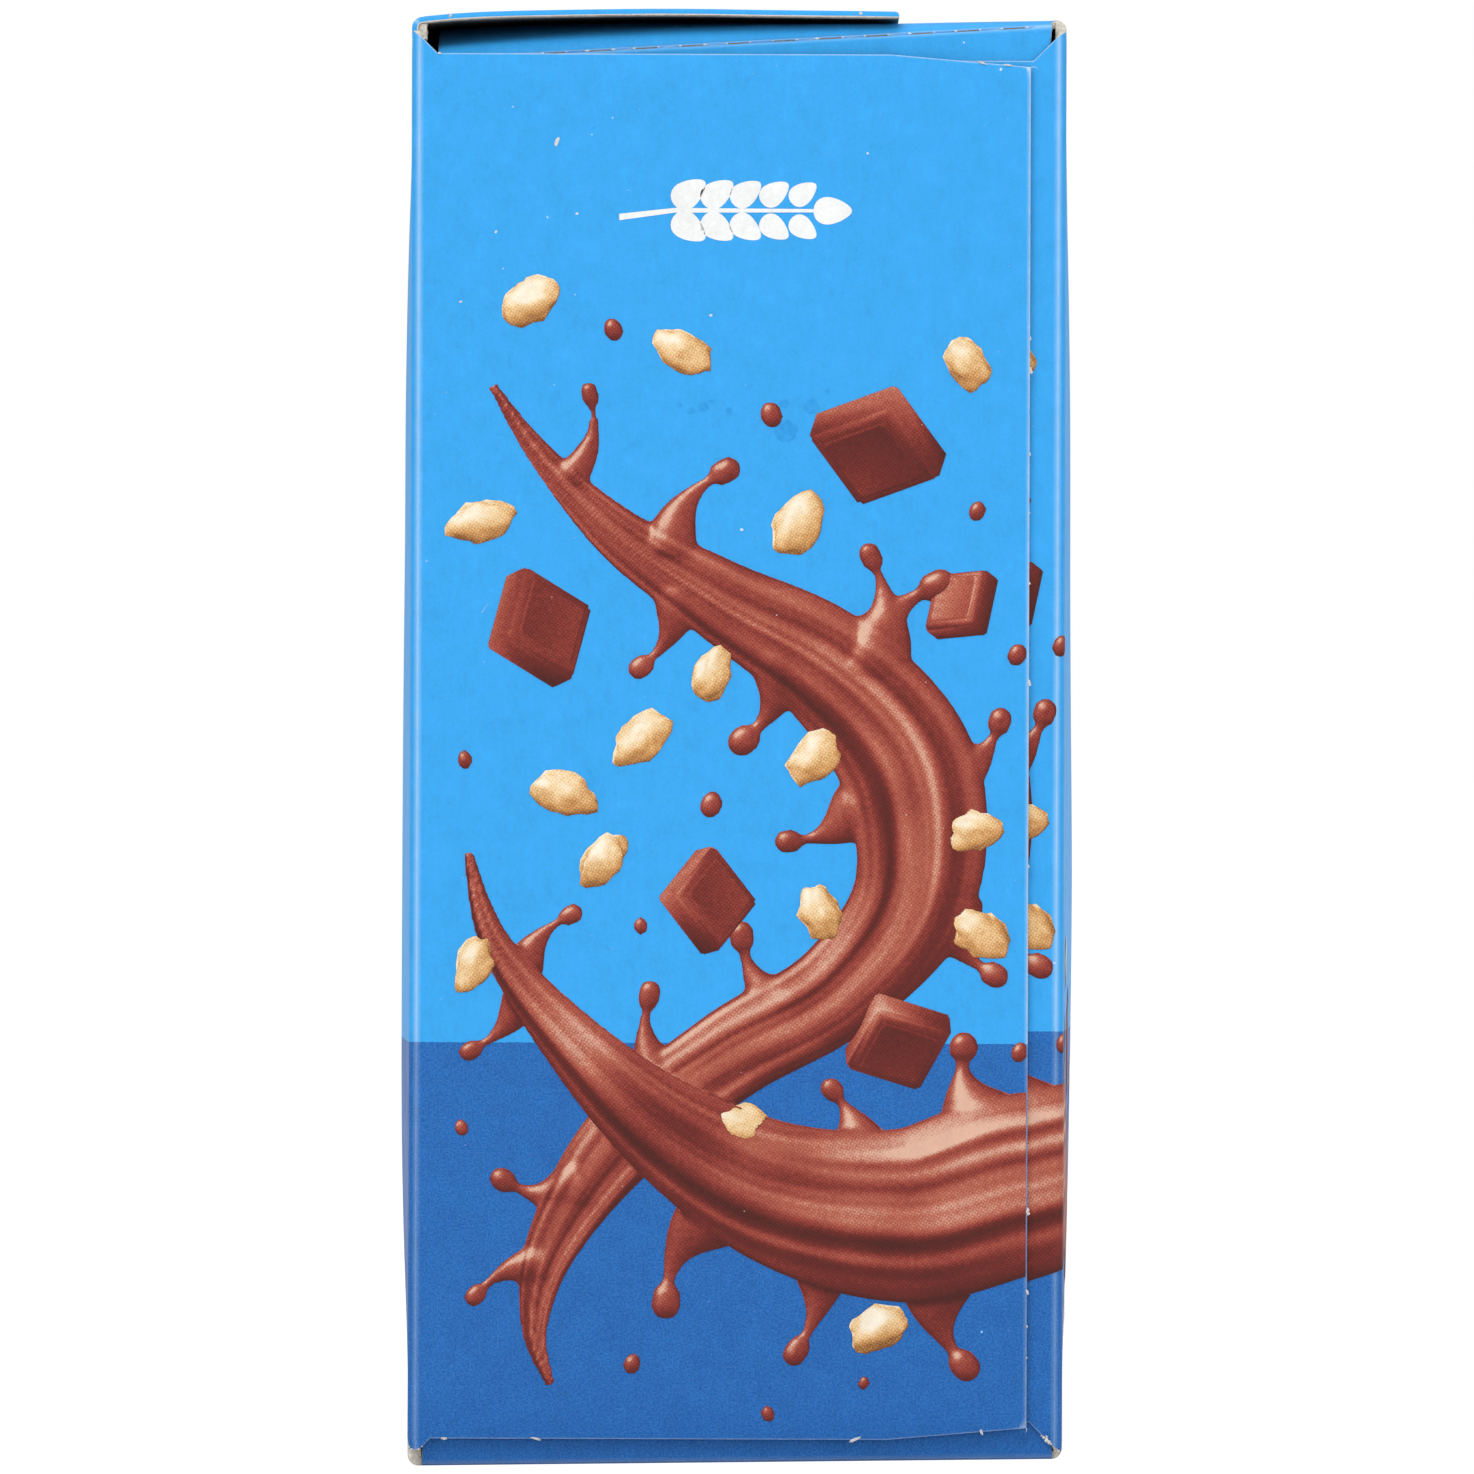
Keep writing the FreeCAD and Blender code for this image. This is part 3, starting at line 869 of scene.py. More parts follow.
def build_screen(name):
    """Printer's screen: round dots whose size follows the tone, on a turned square grid."""
    tree, given, out = effect_group(name, ("Mask",), Pitch=0.174, Angle=0.5, Tone=0.5)
    turned = add(tree, "ShaderNodeVectorRotate", {"Vector": given["Vector"], "Angle": given["Angle"]},
                 rotation_type="Z_AXIS")
    parts = add(tree, "ShaderNodeSeparateXYZ", {0: turned.outputs[0]}).outputs
    turn = maths(tree, "DIVIDE", 2 * math.pi, given["Pitch"])
    waves = [maths(tree, "COSINE", times(tree, parts[k], turn)) for k in (0, 1)]
    height = maths(tree, "MULTIPLY_ADD", plus(tree, *waves), 0.25, 0.5)
    level = minus(tree, height, minus(tree, 1.0, given["Tone"]))
    feed(tree, out, {"Mask": remap(tree, level, -0.14, 0.14)})
    return tree


def build_wear_and_highlight_mask(name):
    """Broken mask along an edge or a fold, from the distance to it: wear, and on the folds also a painted
    highlight.
    """
    tree, given, out = effect_group(name, ("Mask",), Distance=0.0, Width=0.1, Breaks=0.5, Softness=0.03)
    coarse = noise_of(tree, given["Vector"], 0.8, 3.0, 0.6)
    fine = noise_of(tree, given["Vector"], 7.0, 2.0, 0.6)
    uneven = minus(tree, plus(tree, times(tree, coarse, 0.6), times(tree, fine, 0.5)), 0.55)
    reach = times(tree, maths(tree, "MULTIPLY_ADD", uneven, given["Breaks"], 1.0), given["Width"])
    depth = maths(tree, "DIVIDE", minus(tree, given["Distance"], reach), given["Softness"])
    feed(tree, out, {"Mask": remap(tree, depth, 1.0, -1.0)})
    return tree


EFFECTS = {"Ink mottle": build_mottle, "Specks": build_specks, "Printer's screen": build_screen,
           "Edge wear": build_wear_and_highlight_mask}


def effect(tree, name, **values):
    """Places a shared effect group in a material, and gives its outputs."""
    group = bpy.data.node_groups.get(name) or EFFECTS[name](name)
    return add(tree, "ShaderNodeGroup", values, node_tree=group).outputs


def relief_of(tree, height, strength, distance=0.02 * MM):
    return add(tree, "ShaderNodeBump", {"Height": height, "Strength": strength,
                                        "Distance": distance}).outputs["Normal"]


# ---------------------------------------------------------------- materials


INK_GLOSS = {"IOR": 1.36, "Specular IOR Level": 0.25}
PLAIN_BOARDS = {
    # colour, shade, how fine its fibres are, how strongly they stand up
    "raw_cut_board": ("raw_edge", "raw_shadow", 9.0, 0.8),
    "grey_board_back": ("board_back", "back_shadow", 3.0, 0.5),
    "shaded_inside": ("inside", "inside_shadow", 2.0, 0.3),
    "torn_paper": ("paper", "torn_shadow", 14.0, 0.5),
    "thin_ink": ("pale_wear_and_fold_highlight", "light_blue", 14.0, 0.2),
}
INK_STOPS = (0.0, 0.28, 0.46, 0.66, 0.92)      # tones at which an ink's five colours stand


def shared_material(name, paint):
    """The material of this name, made and painted when it is first asked for."""
    material = bpy.data.materials.get(name)
    if not material:
        material = bpy.data.materials.new(name)
        material.use_nodes = True
        paint(material.node_tree, material.node_tree.nodes["Principled BSDF"])
    return material


def coated_print():
    """Coated board printed in two blues, with its screen, mottling, specks and worn folds and edges, and a
    painted highlight along its folds.
    """
    return shared_material("coated_print", paint_coated_print)


def paint_coated_print(tree, shader):
    board = mark(tree, "board", "Vector")
    place = object_place(tree)
    band, cut, fold = (mark(tree, label) for label in ("band", "cut", "fold"))

    dots = effect(tree, "Printer's screen", Vector=board, Pitch=0.15, Angle=0.26, Tone=0.46)["Mask"]
    coarse_grain = remap(tree, noise_of(tree, board, 5.6, 2.0, 0.75), 0.28, 0.72)
    fine_grain = remap(tree, noise_of(tree, board, 10.0, 1.0, 0.5), 0.34, 0.66)
    dark = tint("dark_blue")
    for mask, share, name in (
        (dots, 0.18, "dark_blue_dots"),
        (coarse_grain, 0.60, "dark_blue_dots"),
        (fine_grain, 0.10, "light_blue"),
        (fine_grain, 0.030, "paper"),
    ):
        dark = over(tree, dark, mask, share, name)
    dark = mottled(tree, dark, effect(tree, "Ink mottle", Vector=place, Amount=1.0))
    light_grain = effect(tree, "Ink mottle", Vector=place, Amount=0.75)
    light = mottled(tree, tint("light_blue"), light_grain)
    ragged = plus(tree, band, times(tree, noise_of(tree, board, 5.0), 0.06))
    is_light = remap(tree, ragged, 0.01, 0.05)
    colour = mix(tree, is_light, dark, light)

    upright = stretched(tree, place, (1.0, 1.0, 1.3))
    for vector, scale, girth, kept, share, name in (
        (place, 1.6, 0.05, 0.10, 0.32, "paper"),
        (upright, 0.8, 0.045, 0.12, 0.35, "dark_blue_dots"),
        (place, 0.42, 0.035, 0.35, 0.75, "paper"),
    ):
        spots = effect(tree, "Specks", Vector=vector, Scale=scale, Size=girth, Share=kept)
        colour = over(tree, colour, spots["Mask"], share, name)

    showing = remap(tree, is_light, 0.0, 1.0, 0.45, 1.0, False)
    # The first row is pale along the folds: ink rubbed off there, and a painted highlight laid into the
    # colour. The others are wear: thin cracks on the folds and pale, worn cut edges.
    wear_and_highlight_masks = []
    for distance, width, breaks, softness, share, name in (
        (fold, 0.12, 1.0, 0.20, 0.42, "pale_wear_and_fold_highlight"),
        (fold, 0.012, 7.0, 0.04, 0.26, "paper"),
        (cut, 0.05, 0.8, 0.05, 0.32, "pale_wear_and_fold_highlight"),
        (cut, 0.010, 6.0, 0.03, 0.70, "paper"),
    ):
        wear_and_highlight_masks.append(effect(tree, "Edge wear", Vector=place, Distance=distance, Width=width, Breaks=breaks,
                           Softness=softness)["Mask"])
        colour = mix(tree, times(tree, times(tree, wear_and_highlight_masks[-1], share), showing), colour, tint(name))
    fold_wear_and_highlight, _, _, raw = wear_and_highlight_masks

    gloss = remap(tree, noise_of(tree, place, 0.35, 3.0), 0.3, 0.7, 0.40, 0.50, False)
    relief = minus(tree, light_grain["Height"], times(tree, raw, 0.6))
    feed(tree, shader.inputs, {
        "Base Color": colour,
        "Roughness": plus(tree, gloss, times(tree, fold_wear_and_highlight, 0.12)),
        "Normal": relief_of(tree, relief, 0.35),
        **INK_GLOSS,
    })


def plain_board(name):
    """Unprinted board: flecked fibres over a plain ground."""
    colour, shaded, fineness, strength = PLAIN_BOARDS[name]

    def paint(tree, shader):
        place = object_place(tree)
        grain = noise_of(tree, place, fineness, 4.0, 0.7)
        cloud = noise_of(tree, place, fineness / 7, 2.0)
        share = remap(tree, plus(tree, grain, times(tree, cloud, 0.5)), 0.5, 1.05)
        fleck = effect(tree, "Specks", Vector=place, Scale=fineness * 0.6, Size=0.16, Share=0.16)["Mask"]
        ground = mix(tree, share, tint(shaded), tint(colour))
        feed(tree, shader.inputs, {
            "Base Color": over(tree, ground, fleck, 0.6, shaded),
            "Roughness": remap(tree, grain, 0.2, 0.8, 0.82, 0.95, False),
            "Normal": relief_of(tree, grain, strength, 0.04 * MM),
        })

    return shared_material(name, paint)


def ink_material(kind):
    """Ink of the figure: a run of tones broken up by the printer's screen."""

    def paint(tree, shader):
        board = mark(tree, "board", "Vector")
        place = object_place(tree)
        grain = effect(tree, "Ink mottle", Vector=place, Amount=0.7)
        grit = noise_of(tree, board, 4.0, 3.0, 0.7)
        tone = plus(tree, mark(tree, "tone"), remap(tree, grit, 0.2, 0.8, -0.10, 0.10, False))
        for angle, pitch in ((0.785, 0.165), (0.262, 0.15)):
            dots = effect(tree, "Printer's screen", Vector=board, Pitch=pitch, Angle=angle, Tone=0.5)
            tone = plus(tree, tone, times(tree, minus(tree, dots["Mask"], 0.5), 0.075))
        ramp = add(tree, "ShaderNodeValToRGB", {0: tone})
        stops = ramp.color_ramp.elements
        for k, position in enumerate(INK_STOPS):
            stop = stops.new(position) if k else stops[0]
            stop.color = tint(f"{kind}_{k}")
        stops.remove(stops[-1])
        pale = effect(tree, "Specks", Vector=place, Scale=0.9, Size=0.035, Share=0.3)["Mask"]
        feed(tree, shader.inputs, {
            "Base Color": over(tree, mottled(tree, ramp.outputs[0], grain), pale, 0.5, "paper"),
            "Roughness": remap(tree, grain["Height"], 0.6, 1.2, 0.42, 0.52, False),
            "Normal": relief_of(tree, grain["Height"], 0.3),
            **INK_GLOSS,
        })

    return shared_material(kind + "_ink", paint)


def stain_material():
    """Light blue print that a dried drop has left a shade greener and darker, most at its rim."""

    def paint(tree, shader):
        place = object_place(tree)
        grain = effect(tree, "Ink mottle", Vector=place, Amount=0.8)
        share = remap(tree, noise_of(tree, place, 2.4, 3.0), 0.3, 0.7)
        tone = mix(tree, share, tint("stain"), tint("stain_light"))
        feed(tree, shader.inputs, {
            "Base Color": mottled(tree, tone, grain),
            "Roughness": remap(tree, share, 0.0, 1.0, 0.5, 0.62, False),
            "Normal": relief_of(tree, grain["Height"], 0.3),
            **INK_GLOSS,
        })

    return shared_material("stained_print", paint)


# ---------------------------------------------------------------- printed figure
# The figure is a picture of solids: each is modelled, shaded, and pressed flat onto the board.
# Its places are millimetres on the unrolled board: u from the outside of the -X hinge, v up.


FALLING = (
    # u, v, half width of the stream that falls from the upper left and swings back under itself
    (4.4, 58.8, 0.30), (7.2, 54.8, 0.75), (11.4, 50.6, 1.45), (16.8, 47.2, 2.2), (22.6, 43.6, 3.1),
    (27.0, 38.0, 3.7), (27.4, 31.2, 3.3), (23.4, 26.0, 2.7), (17.4, 22.4, 2.5), (11.6, 17.8, 2.3),
    (7.9, 12.2, 1.5), (6.9, 7.6, 0.75), (7.8, 4.4, 0.30),
)
RUNNING = (
    # the same of the stream that runs off to the right and round the carton
    (3.2, 33.4, 0.30), (4.6, 28.6, 0.85), (8.4, 23.6, 1.6), (13.8, 18.6, 2.7), (20.4, 14.8, 3.9),
    (27.2, 13.6, 4.7), (33.6, 15.4, 4.9), (40.5, 15.6, 4.4), (47.5, 12.6, 3.4), (54.0, 11.6, 2.1),
    (59.5, 13.6, 1.1), (63.5, 17.2, 0.40),
)
CROSSING = Vector((11.4, 20.6))    # where the second stream passes over the first
CROSSING_LIFT = 1.5                # how far it rises there, and over what length
CROSSING_REACH = 5.0
DRIPS = (
    # start u, v, end u, v, sideways bend, half width at the root, half width of the round tip
    (8.6, 53.6, 9.6, 58.8, -0.8, 0.6, 0.50), (14.0, 49.6, 17.6, 54.4, 0.9, 1.0, 0.70),
    (14.6, 47.6, 12.2, 43.2, 0.7, 0.9, 0.62), (20.2, 44.2, 17.8, 39.2, 0.8, 1.2, 0.80),
    (24.8, 43.2, 29.2, 48.2, 1.0, 1.5, 0.85), (25.6, 44.2, 24.8, 50.0, -0.6, 1.1, 0.62),
    (28.8, 37.6, 32.2, 41.0, -0.8, 1.3, 0.66), (24.6, 36.0, 20.2, 34.0, 0.6, 1.1, 0.66),
    (29.4, 30.6, 32.2, 26.6, -0.8, 1.2, 0.70), (21.2, 24.6, 18.0, 29.4, 0.9, 1.2, 0.70),
    (14.2, 20.4, 13.2, 26.2, 0.8, 1.1, 0.62), (9.6, 15.4, 4.8, 15.8, 0.8, 1.1, 0.66),
    (7.6, 11.0, 3.4, 9.0, -0.6, 0.8, 0.55), (6.0, 26.6, 9.2, 30.2, 0.6, 0.8, 0.55),
    (6.4, 25.8, 3.0, 22.4, 0.5, 0.8, 0.55), (17.2, 14.2, 14.0, 8.4, -1.0, 1.4, 0.80),
    (22.4, 12.2, 20.8, 5.8, 0.7, 1.3, 0.66), (28.8, 10.8, 30.6, 5.2, -0.8, 1.5, 0.80),
    (24.6, 16.8, 22.8, 20.8, -0.4, 1.3, 0.62), (31.2, 18.6, 30.2, 23.2, 0.5, 1.6, 0.80),
    (36.6, 18.2, 38.6, 23.6, 0.9, 1.6, 0.85), (41.8, 13.0, 43.6, 7.4, 0.6, 1.6, 0.75),
    (48.6, 13.8, 51.0, 18.6, 0.8, 1.2, 0.62),
)
DROPS = (
    # u, v, radius
    (11.0, 61.8, 0.55), (19.6, 57.2, 0.62), (30.8, 52.0, 0.5), (33.0, 44.2, 0.55), (16.4, 36.0, 0.62),
    (3.0, 38.4, 0.45), (12.6, 29.4, 0.42), (33.2, 22.6, 0.5), (2.9, 18.4, 0.42), (12.2, 5.6, 0.5),
    (19.6, 2.9, 0.42), (24.8, 4.6, 0.36), (54.6, 19.4, 0.6), (44.6, 4.6, 0.5),
)
SQUARES = (
    # u, v, size, and turns about the board's two directions and out of it
    (25.4, 55.6, 5.4, 0.55, -0.50, 0.35), (7.0, 45.6, 4.8, -0.60, 0.45, -0.55),
    (16.2, 30.8, 4.2, 0.40, 0.62, 0.90), (30.0, 46.9, 3.4, -0.50, -0.62, 0.10),
    (26.6, 23.2, 4.4, 0.62, 0.30, -0.30), (46.6, 22.6, 4.8, 0.50, 0.52, 0.40),
)
PUFFS = (
    # u, v, half length, turn
    (6.6, 63.4, 1.75, 0.5), (14.8, 60.6, 1.65, -0.6), (21.0, 51.2, 1.85, 1.1), (3.8, 51.4, 1.75, 0.2),
    (30.2, 60.0, 1.60, -1.0), (12.6, 39.6, 1.80, 0.8), (16.4, 43.0, 1.55, 1.3), (8.4, 36.6, 1.80, -0.3),
    (22.0, 38.6, 1.75, 0.7), (22.4, 30.2, 1.70, -1.2), (30.6, 34.6, 1.65, 0.3), (10.6, 33.0, 1.6, 0.9),
    (31.0, 29.0, 1.80, -0.5), (3.6, 27.4, 1.60, 1.2), (17.8, 18.6, 1.75, 0.1), (25.6, 7.6, 1.75, 0.4),
    (39.6, 27.0, 1.8, 0.6), (50.6, 7.6, 1.8, -0.7), (57.6, 20.4, 1.7, 0.2),
)
SPRIG_MIDDLE = (17.0, 68.3)
SPRIG_LENGTH = 11.4
SPRIG_KERNEL = 2.1         # length of a kernel
SPRIG_PAIRS = 5            # pairs of kernels, how far apart, and the bare stalk before them
SPRIG_PITCH = 1.55
SPRIG_STALK = 3.3
VOXEL = 0.17               # grid of the melted skin
TUBE_SIDES = 28            # sides of a stream's or a drip's outline
STREAM_STEPS = 14          # steps of a stream between two of its places
DRIP_STEPS = 18
STREAM_EDGE = 1.04         # in half widths of a stream: how far out a place still lies on it,
STREAM_NEAR = 1.6          # how far from the nearest place on its middle line,
STREAK_EDGE = 1.25         # and how far out its streaks are drawn
LOBES = 24                 # corners of a kernel's outline


def between(a, b, c, d, t):
    """Catmull-Rom value between b and c."""
    return 0.5 * (2 * b + (c - a) * t + (2 * a - 5 * b + 4 * c - d) * t**2 + (3 * b - a - 3 * c + d) * t**3)


def along_path(points):
    """Smooth run of (place, half width) through the points."""
    padded = [points[0], *points, points[-1]]
    run = []
    for i in range(1, len(padded) - 2):
        for k in range(STREAM_STEPS):
            u, v, half = (between(*(padded[i + n][axis] for n in (-1, 0, 1, 2)), k / STREAM_STEPS)
                          for axis in range(3))
            run.append((Vector((u, v)), max(half, 0.05)))
    run.append((Vector(points[-1][:2]), points[-1][2]))
    return run


def join_rings(solid, rings):
    """Skin between each ring of vertices and the next."""
    for a, b in zip(rings, rings[1:]):
        for k in range(len(a)):
            solid.faces.new((a[k - 1], a[k], b[k], b[k - 1]))


def sweep(solid, run, flatness, ridge, depth=0.0, crossing=0.0):
    """Adds a closed, ridged tube along a run of (place, half width) to the solid."""
    rings = []
    last = len(run) - 1
    for i, (place, half) in enumerate(run):
        ahead = run[min(i + 1, last)][0] - run[max(i - 1, 0)][0]
        across = Vector((-ahead.y, ahead.x)).normalized()
        slope = 0.5 * math.sin(i * 0.11)
        lift = crossing * math.exp(-((place - CROSSING).length / CROSSING_REACH) ** 2)
        ring = []
        for k in range(TUBE_SIDES):
            angle = 2 * math.pi * k / TUBE_SIDES
            swell = 1.0 + ridge * (math.sin(3 * angle + slope) + 0.6 * math.sin(7 * angle + i * 0.02))
            side = across * (half * math.cos(angle) * swell)
            rise = half * flatness * math.sin(angle) * swell + depth + lift
            ring.append(solid.verts.new((place.x + side.x, place.y + side.y, rise)))
        rings.append(ring)
    join_rings(solid, rings)
    solid.faces.new(rings[0])
    solid.faces.new(rings[-1][::-1])


def ball(solid, u, v, radius, stretch=(1.0, 1.0, 0.8), turn=0.0):
    """Adds a ball at (u, v), stretched and then turned in the plane of the print."""
    place = Matrix.Translation((u, v, 0)) @ Matrix.Rotation(turn, 4, "Z")
    place = place @ Matrix.Diagonal((*(radius * s for s in stretch), 1.0))
    bmesh.ops.create_icosphere(solid, subdivisions=3, radius=1.0, matrix=place)


def drip_run(u0, v0, u1, v1, bend, root, tip):
    """Run of (place, half width) along a drip, thin before its round tip."""
    start = Vector((u0, v0))
    end = Vector((u1, v1))
    side = Vector((start.y - end.y, end.x - start.x)).normalized() * bend
    run = []
    for k in range(DRIP_STEPS + 1):
        t = k / DRIP_STEPS
        place = start.lerp(end, t) + side * math.sin(math.pi * t)
        neck = blend(root * 1.5, tip * 0.45, smooth(t * 1.3))
        run.append((place, max(neck, tip * math.sqrt(max(1 - ((1 - t) * 9 - 1.0) ** 2 * 0.8, 0.0)))))
    return run


def melted_solid():
    """Both streams, their drips and the drops, merged into one smooth skin."""
    solid = bmesh.new()
    sweep(solid, along_path(FALLING), 0.5, 0.05)
    sweep(solid, along_path(RUNNING), 0.5, 0.05, 0.6, CROSSING_LIFT)
    for drip in DRIPS:
        run = drip_run(*drip)
        sweep(solid, run, 0.75, 0.0)
        ball(solid, *run[-2][0], drip[-1])
    for u, v, radius in DROPS:
        ball(solid, u, v, radius, (1.0, 1.25, 0.8), turn=0.4 * math.sin(u * 3))
    mesh = mesh_of("melted", solid)
    holder = linked("melted", mesh)
    merge = holder.modifiers.new("merge", "REMESH")
    merge.mode = "VOXEL"
    merge.voxel_size = VOXEL
    ease = holder.modifiers.new("ease", "SMOOTH")
    ease.factor = 0.5
    ease.iterations = 7
    skin = bpy.data.meshes.new_from_object(holder.evaluated_get(bpy.context.evaluated_depsgraph_get()))
    bpy.data.objects.remove(holder)
    bpy.data.meshes.remove(mesh)
    return skin


def squares_solid():
    """Moulded squares of chocolate with a bevelled rim and a raised field, each turned its own way."""
    solid = bmesh.new()
    for u, v, edge, pitch, yaw, roll in SQUARES:
        block = bmesh.ops.create_cube(solid, size=1.0, matrix=Matrix.Diagonal((edge, edge, edge * 0.36, 1)))
        faces = list({face for vert in block["verts"] for face in vert.link_faces})
        top = max(faces, key=lambda face: face.calc_center_median().z)
        for rise in (0.10, -0.03):
            bmesh.ops.inset_region(solid, faces=[top], thickness=edge * 0.13, depth=edge * rise)
        verts = list({vert for face in faces for vert in face.verts})
        grown = set(verts)
        for vert in verts:
            grown.update(rim.other_vert(vert) for rim in vert.link_edges)
        rims = list({rim for vert in grown for rim in vert.link_edges})
        made = bmesh.ops.bevel(solid, geom=rims, offset=edge * 0.035, segments=2, affect="EDGES")
        grown.update(made["verts"])
        turn = Matrix.Rotation(roll, 4, "Z") @ Matrix.Rotation(yaw, 4, "Y") @ Matrix.Rotation(pitch, 4, "X")
        kept = [vert for vert in grown if vert.is_valid]
        bmesh.ops.transform(solid, matrix=Matrix.Translation((u, v, 8.0)) @ turn, verts=kept)
    return mesh_of("squares", solid)


def puffs_solid():
    """Toasted puffs of cereal, dented and uneven."""
    solid = bmesh.new()
    for number, (u, v, half, turn) in enumerate(PUFFS):
        start = len(solid.verts)
        ball(solid, 0, 0, half, (1.0, 0.64, 0.6), turn)
        solid.verts.ensure_lookup_table()
        for vert in solid.verts[start:]:
            way = vert.co.normalized()
            lump = noise.noise(way * 1.7 + Vector((number * 3.7, 0, 0))) * 0.30
            lump += noise.noise(way * 4.6 + Vector((0, number * 2.1, 0))) * 0.11
            vert.co *= 1.0 + lump
            vert.co += Vector((u, v, 6.0))
    return mesh_of("puffs", solid)


def sprig_solid():
    """Ear of grain lying along u: paired kernels on a stalk, as one flat pale figure."""
    solid = bmesh.new()
    middle_u, middle_v = SPRIG_MIDDLE
    first = middle_u - SPRIG_LENGTH / 2
    ear = first + SPRIG_STALK

    def kernel(u, v, turn, length):
        corners = []
        for k in range(LOBES):
            angle = 2 * math.pi * k / LOBES
            swell = 0.34 * math.sin(angle) * (1.0 - 0.35 * math.cos(angle))
            place = Matrix.Rotation(turn, 2) @ Vector((0.5 * math.cos(angle), swell)) * length
            corners.append(solid.verts.new((u + place.x, v + place.y, 0.0)))
        solid.faces.new(corners)

    for k in range(SPRIG_PAIRS):
        for side in (-1, 1):
            kernel(ear + k * SPRIG_PITCH + 0.5, middle_v + side * 0.95, side * 0.62,
                   SPRIG_KERNEL * (1.0 - 0.05 * k))
    kernel(ear + SPRIG_PAIRS * SPRIG_PITCH + 0.55, middle_v, 0.0, SPRIG_KERNEL)
    stalk = [(first + u, middle_v + v) for u, v in
             ((0, -0.55), (3.0, -0.13), (10.6, -0.09), (10.6, 0.09), (3.0, 0.13), (0, -0.2))]
    solid.faces.new([solid.verts.new((u, v, 0.0)) for u, v in stalk])
    return mesh_of("sprig", solid)


# Light in which the figure's solids are shaded: broad, sharp, and from the side
PRINT_LIGHT = Vector((-0.42, 0.62, 0.66)).normalized()
PRINT_GLANCE = Vector((-0.30, 0.42, 0.86)).normalized()
SIDE_LIGHT = Vector((0.75, -0.25, 0.6)).normalized()


def flow_samples(points):
    """Places along a stream, each with its direction across and half width, and a tree to find them."""
    run = along_path(points)
    samples = []
    tree = kdtree.KDTree(len(run) - 2)
    for i in range(1, len(run) - 1):
        ahead = run[i + 1][0] - run[i - 1][0]
        samples.append((run[i][0], Vector((-ahead.y, ahead.x)).normalized(), run[i][1]))
        tree.insert((run[i][0].x, run[i][0].y, 0.0), i - 1)
    tree.balance()
    return samples, tree


def flow_lines():
    """Tone of the streaks that run along the melted streams, as a function of the place."""
    lower, upper = (flow_samples(points) for points in (FALLING, RUNNING))

    def found(stream, place):
        samples, tree = stream
        _, index, _ = tree.find((place.x, place.y, 0.0))
        center, across, half = samples[index]
        return index + 1, (Vector((place.x, place.y)) - center).dot(across) / half

    def streaks(place):
        number = 1
        i, side = found(upper, place)
        center, _, half = upper[0][i - 1]
        if abs(side) > STREAM_EDGE or (place.xy - center).length > STREAM_NEAR * half:
            number = 0
            i, side = found(lower, place)
        if abs(side) > STREAK_EDGE:
            return 0.0
        drift = side + 0.16 * math.sin(i * 0.045 + number) + 0.05 * math.sin(i * 0.17)
        fade = 1.0 - smooth((abs(side) - 0.75) / 0.5)
        wide = noise.noise(Vector((drift * 2.6, i * 0.016, number * 5.0)))
        fine = noise.noise(Vector((drift * 7.5, i * 0.022, 4.0 + number)))
        glint_at = 0.42 + 0.12 * math.sin(i * 0.06)
        glint = math.exp(-((drift - glint_at) / 0.085) ** 2)
        second = math.exp(-((drift + 0.12) / 0.06) ** 2) * 0.6
        strength = 0.5 + 0.5 * noise.noise(Vector((i * 0.05, number * 3.0, 9.0)))
        crease = math.exp(-((drift + 0.52) / 0.10) ** 2) + 0.7 * math.exp(-((drift - 0.16) / 0.05) ** 2)
        lines = 0.42 * wide + 0.26 * fine + 0.34 * strength * (glint + second) - 0.20 * crease
        return fade * lines

    return streaks


def shade(normal, place, gloss, streaks=None):
    """Tone from 0, deepest, to 1, brightest, of a lit place on a solid."""
    lit = max(normal.dot(PRINT_LIGHT), 0.0)
    glance = max(normal.dot(PRINT_GLANCE), 0.0) ** 26
    edge_glow = max(normal.dot(SIDE_LIGHT), 0.0) ** 8
    rim = (1.0 - max(normal.z, 0.0)) ** 2
    cloud = noise.noise(Vector((place.x * 0.35, place.y * 0.35, 3.0)))
    tone = 0.14 + 0.44 * lit + gloss * glance + 0.18 * edge_glow - 0.22 * rim + 0.09 * cloud
    tone += streaks(place) if streaks else 0.0
    keyline = smooth((0.26 - normal.z) / 0.16) * smooth(0.6 + 0.9 * normal.dot(PRINT_LIGHT))
    return blend(tone, 0.84, 0.75 * keyline)


def press_flat(source, gloss, streaks=None):
    """Picture of a solid's front: [(u, v, lift, tone)] for its vertices, and its faces."""
    source.update()
    heights = [vert.co.z for vert in source.vertices]
    lowest = min(heights)
    span = max(max(heights) - lowest, 0.001)
    normals = [vert.normal.copy() for vert in source.vertices]
    keep = [polygon for polygon in source.polygons if polygon.normal.z > 0.03]
    used = sorted({index for polygon in keep for index in polygon.vertices})
    number = {index: place for place, index in enumerate(used)}
    points = []
    for index in used:
        co = source.vertices[index].co
        lift = size("ink_lift") + size("ink_depth") * (co.z - lowest) / span
        points.append((co.x, co.y, lift, shade(normals[index], co, gloss, streaks)))
    return points, [[number[index] for index in polygon.vertices] for polygon in keep]


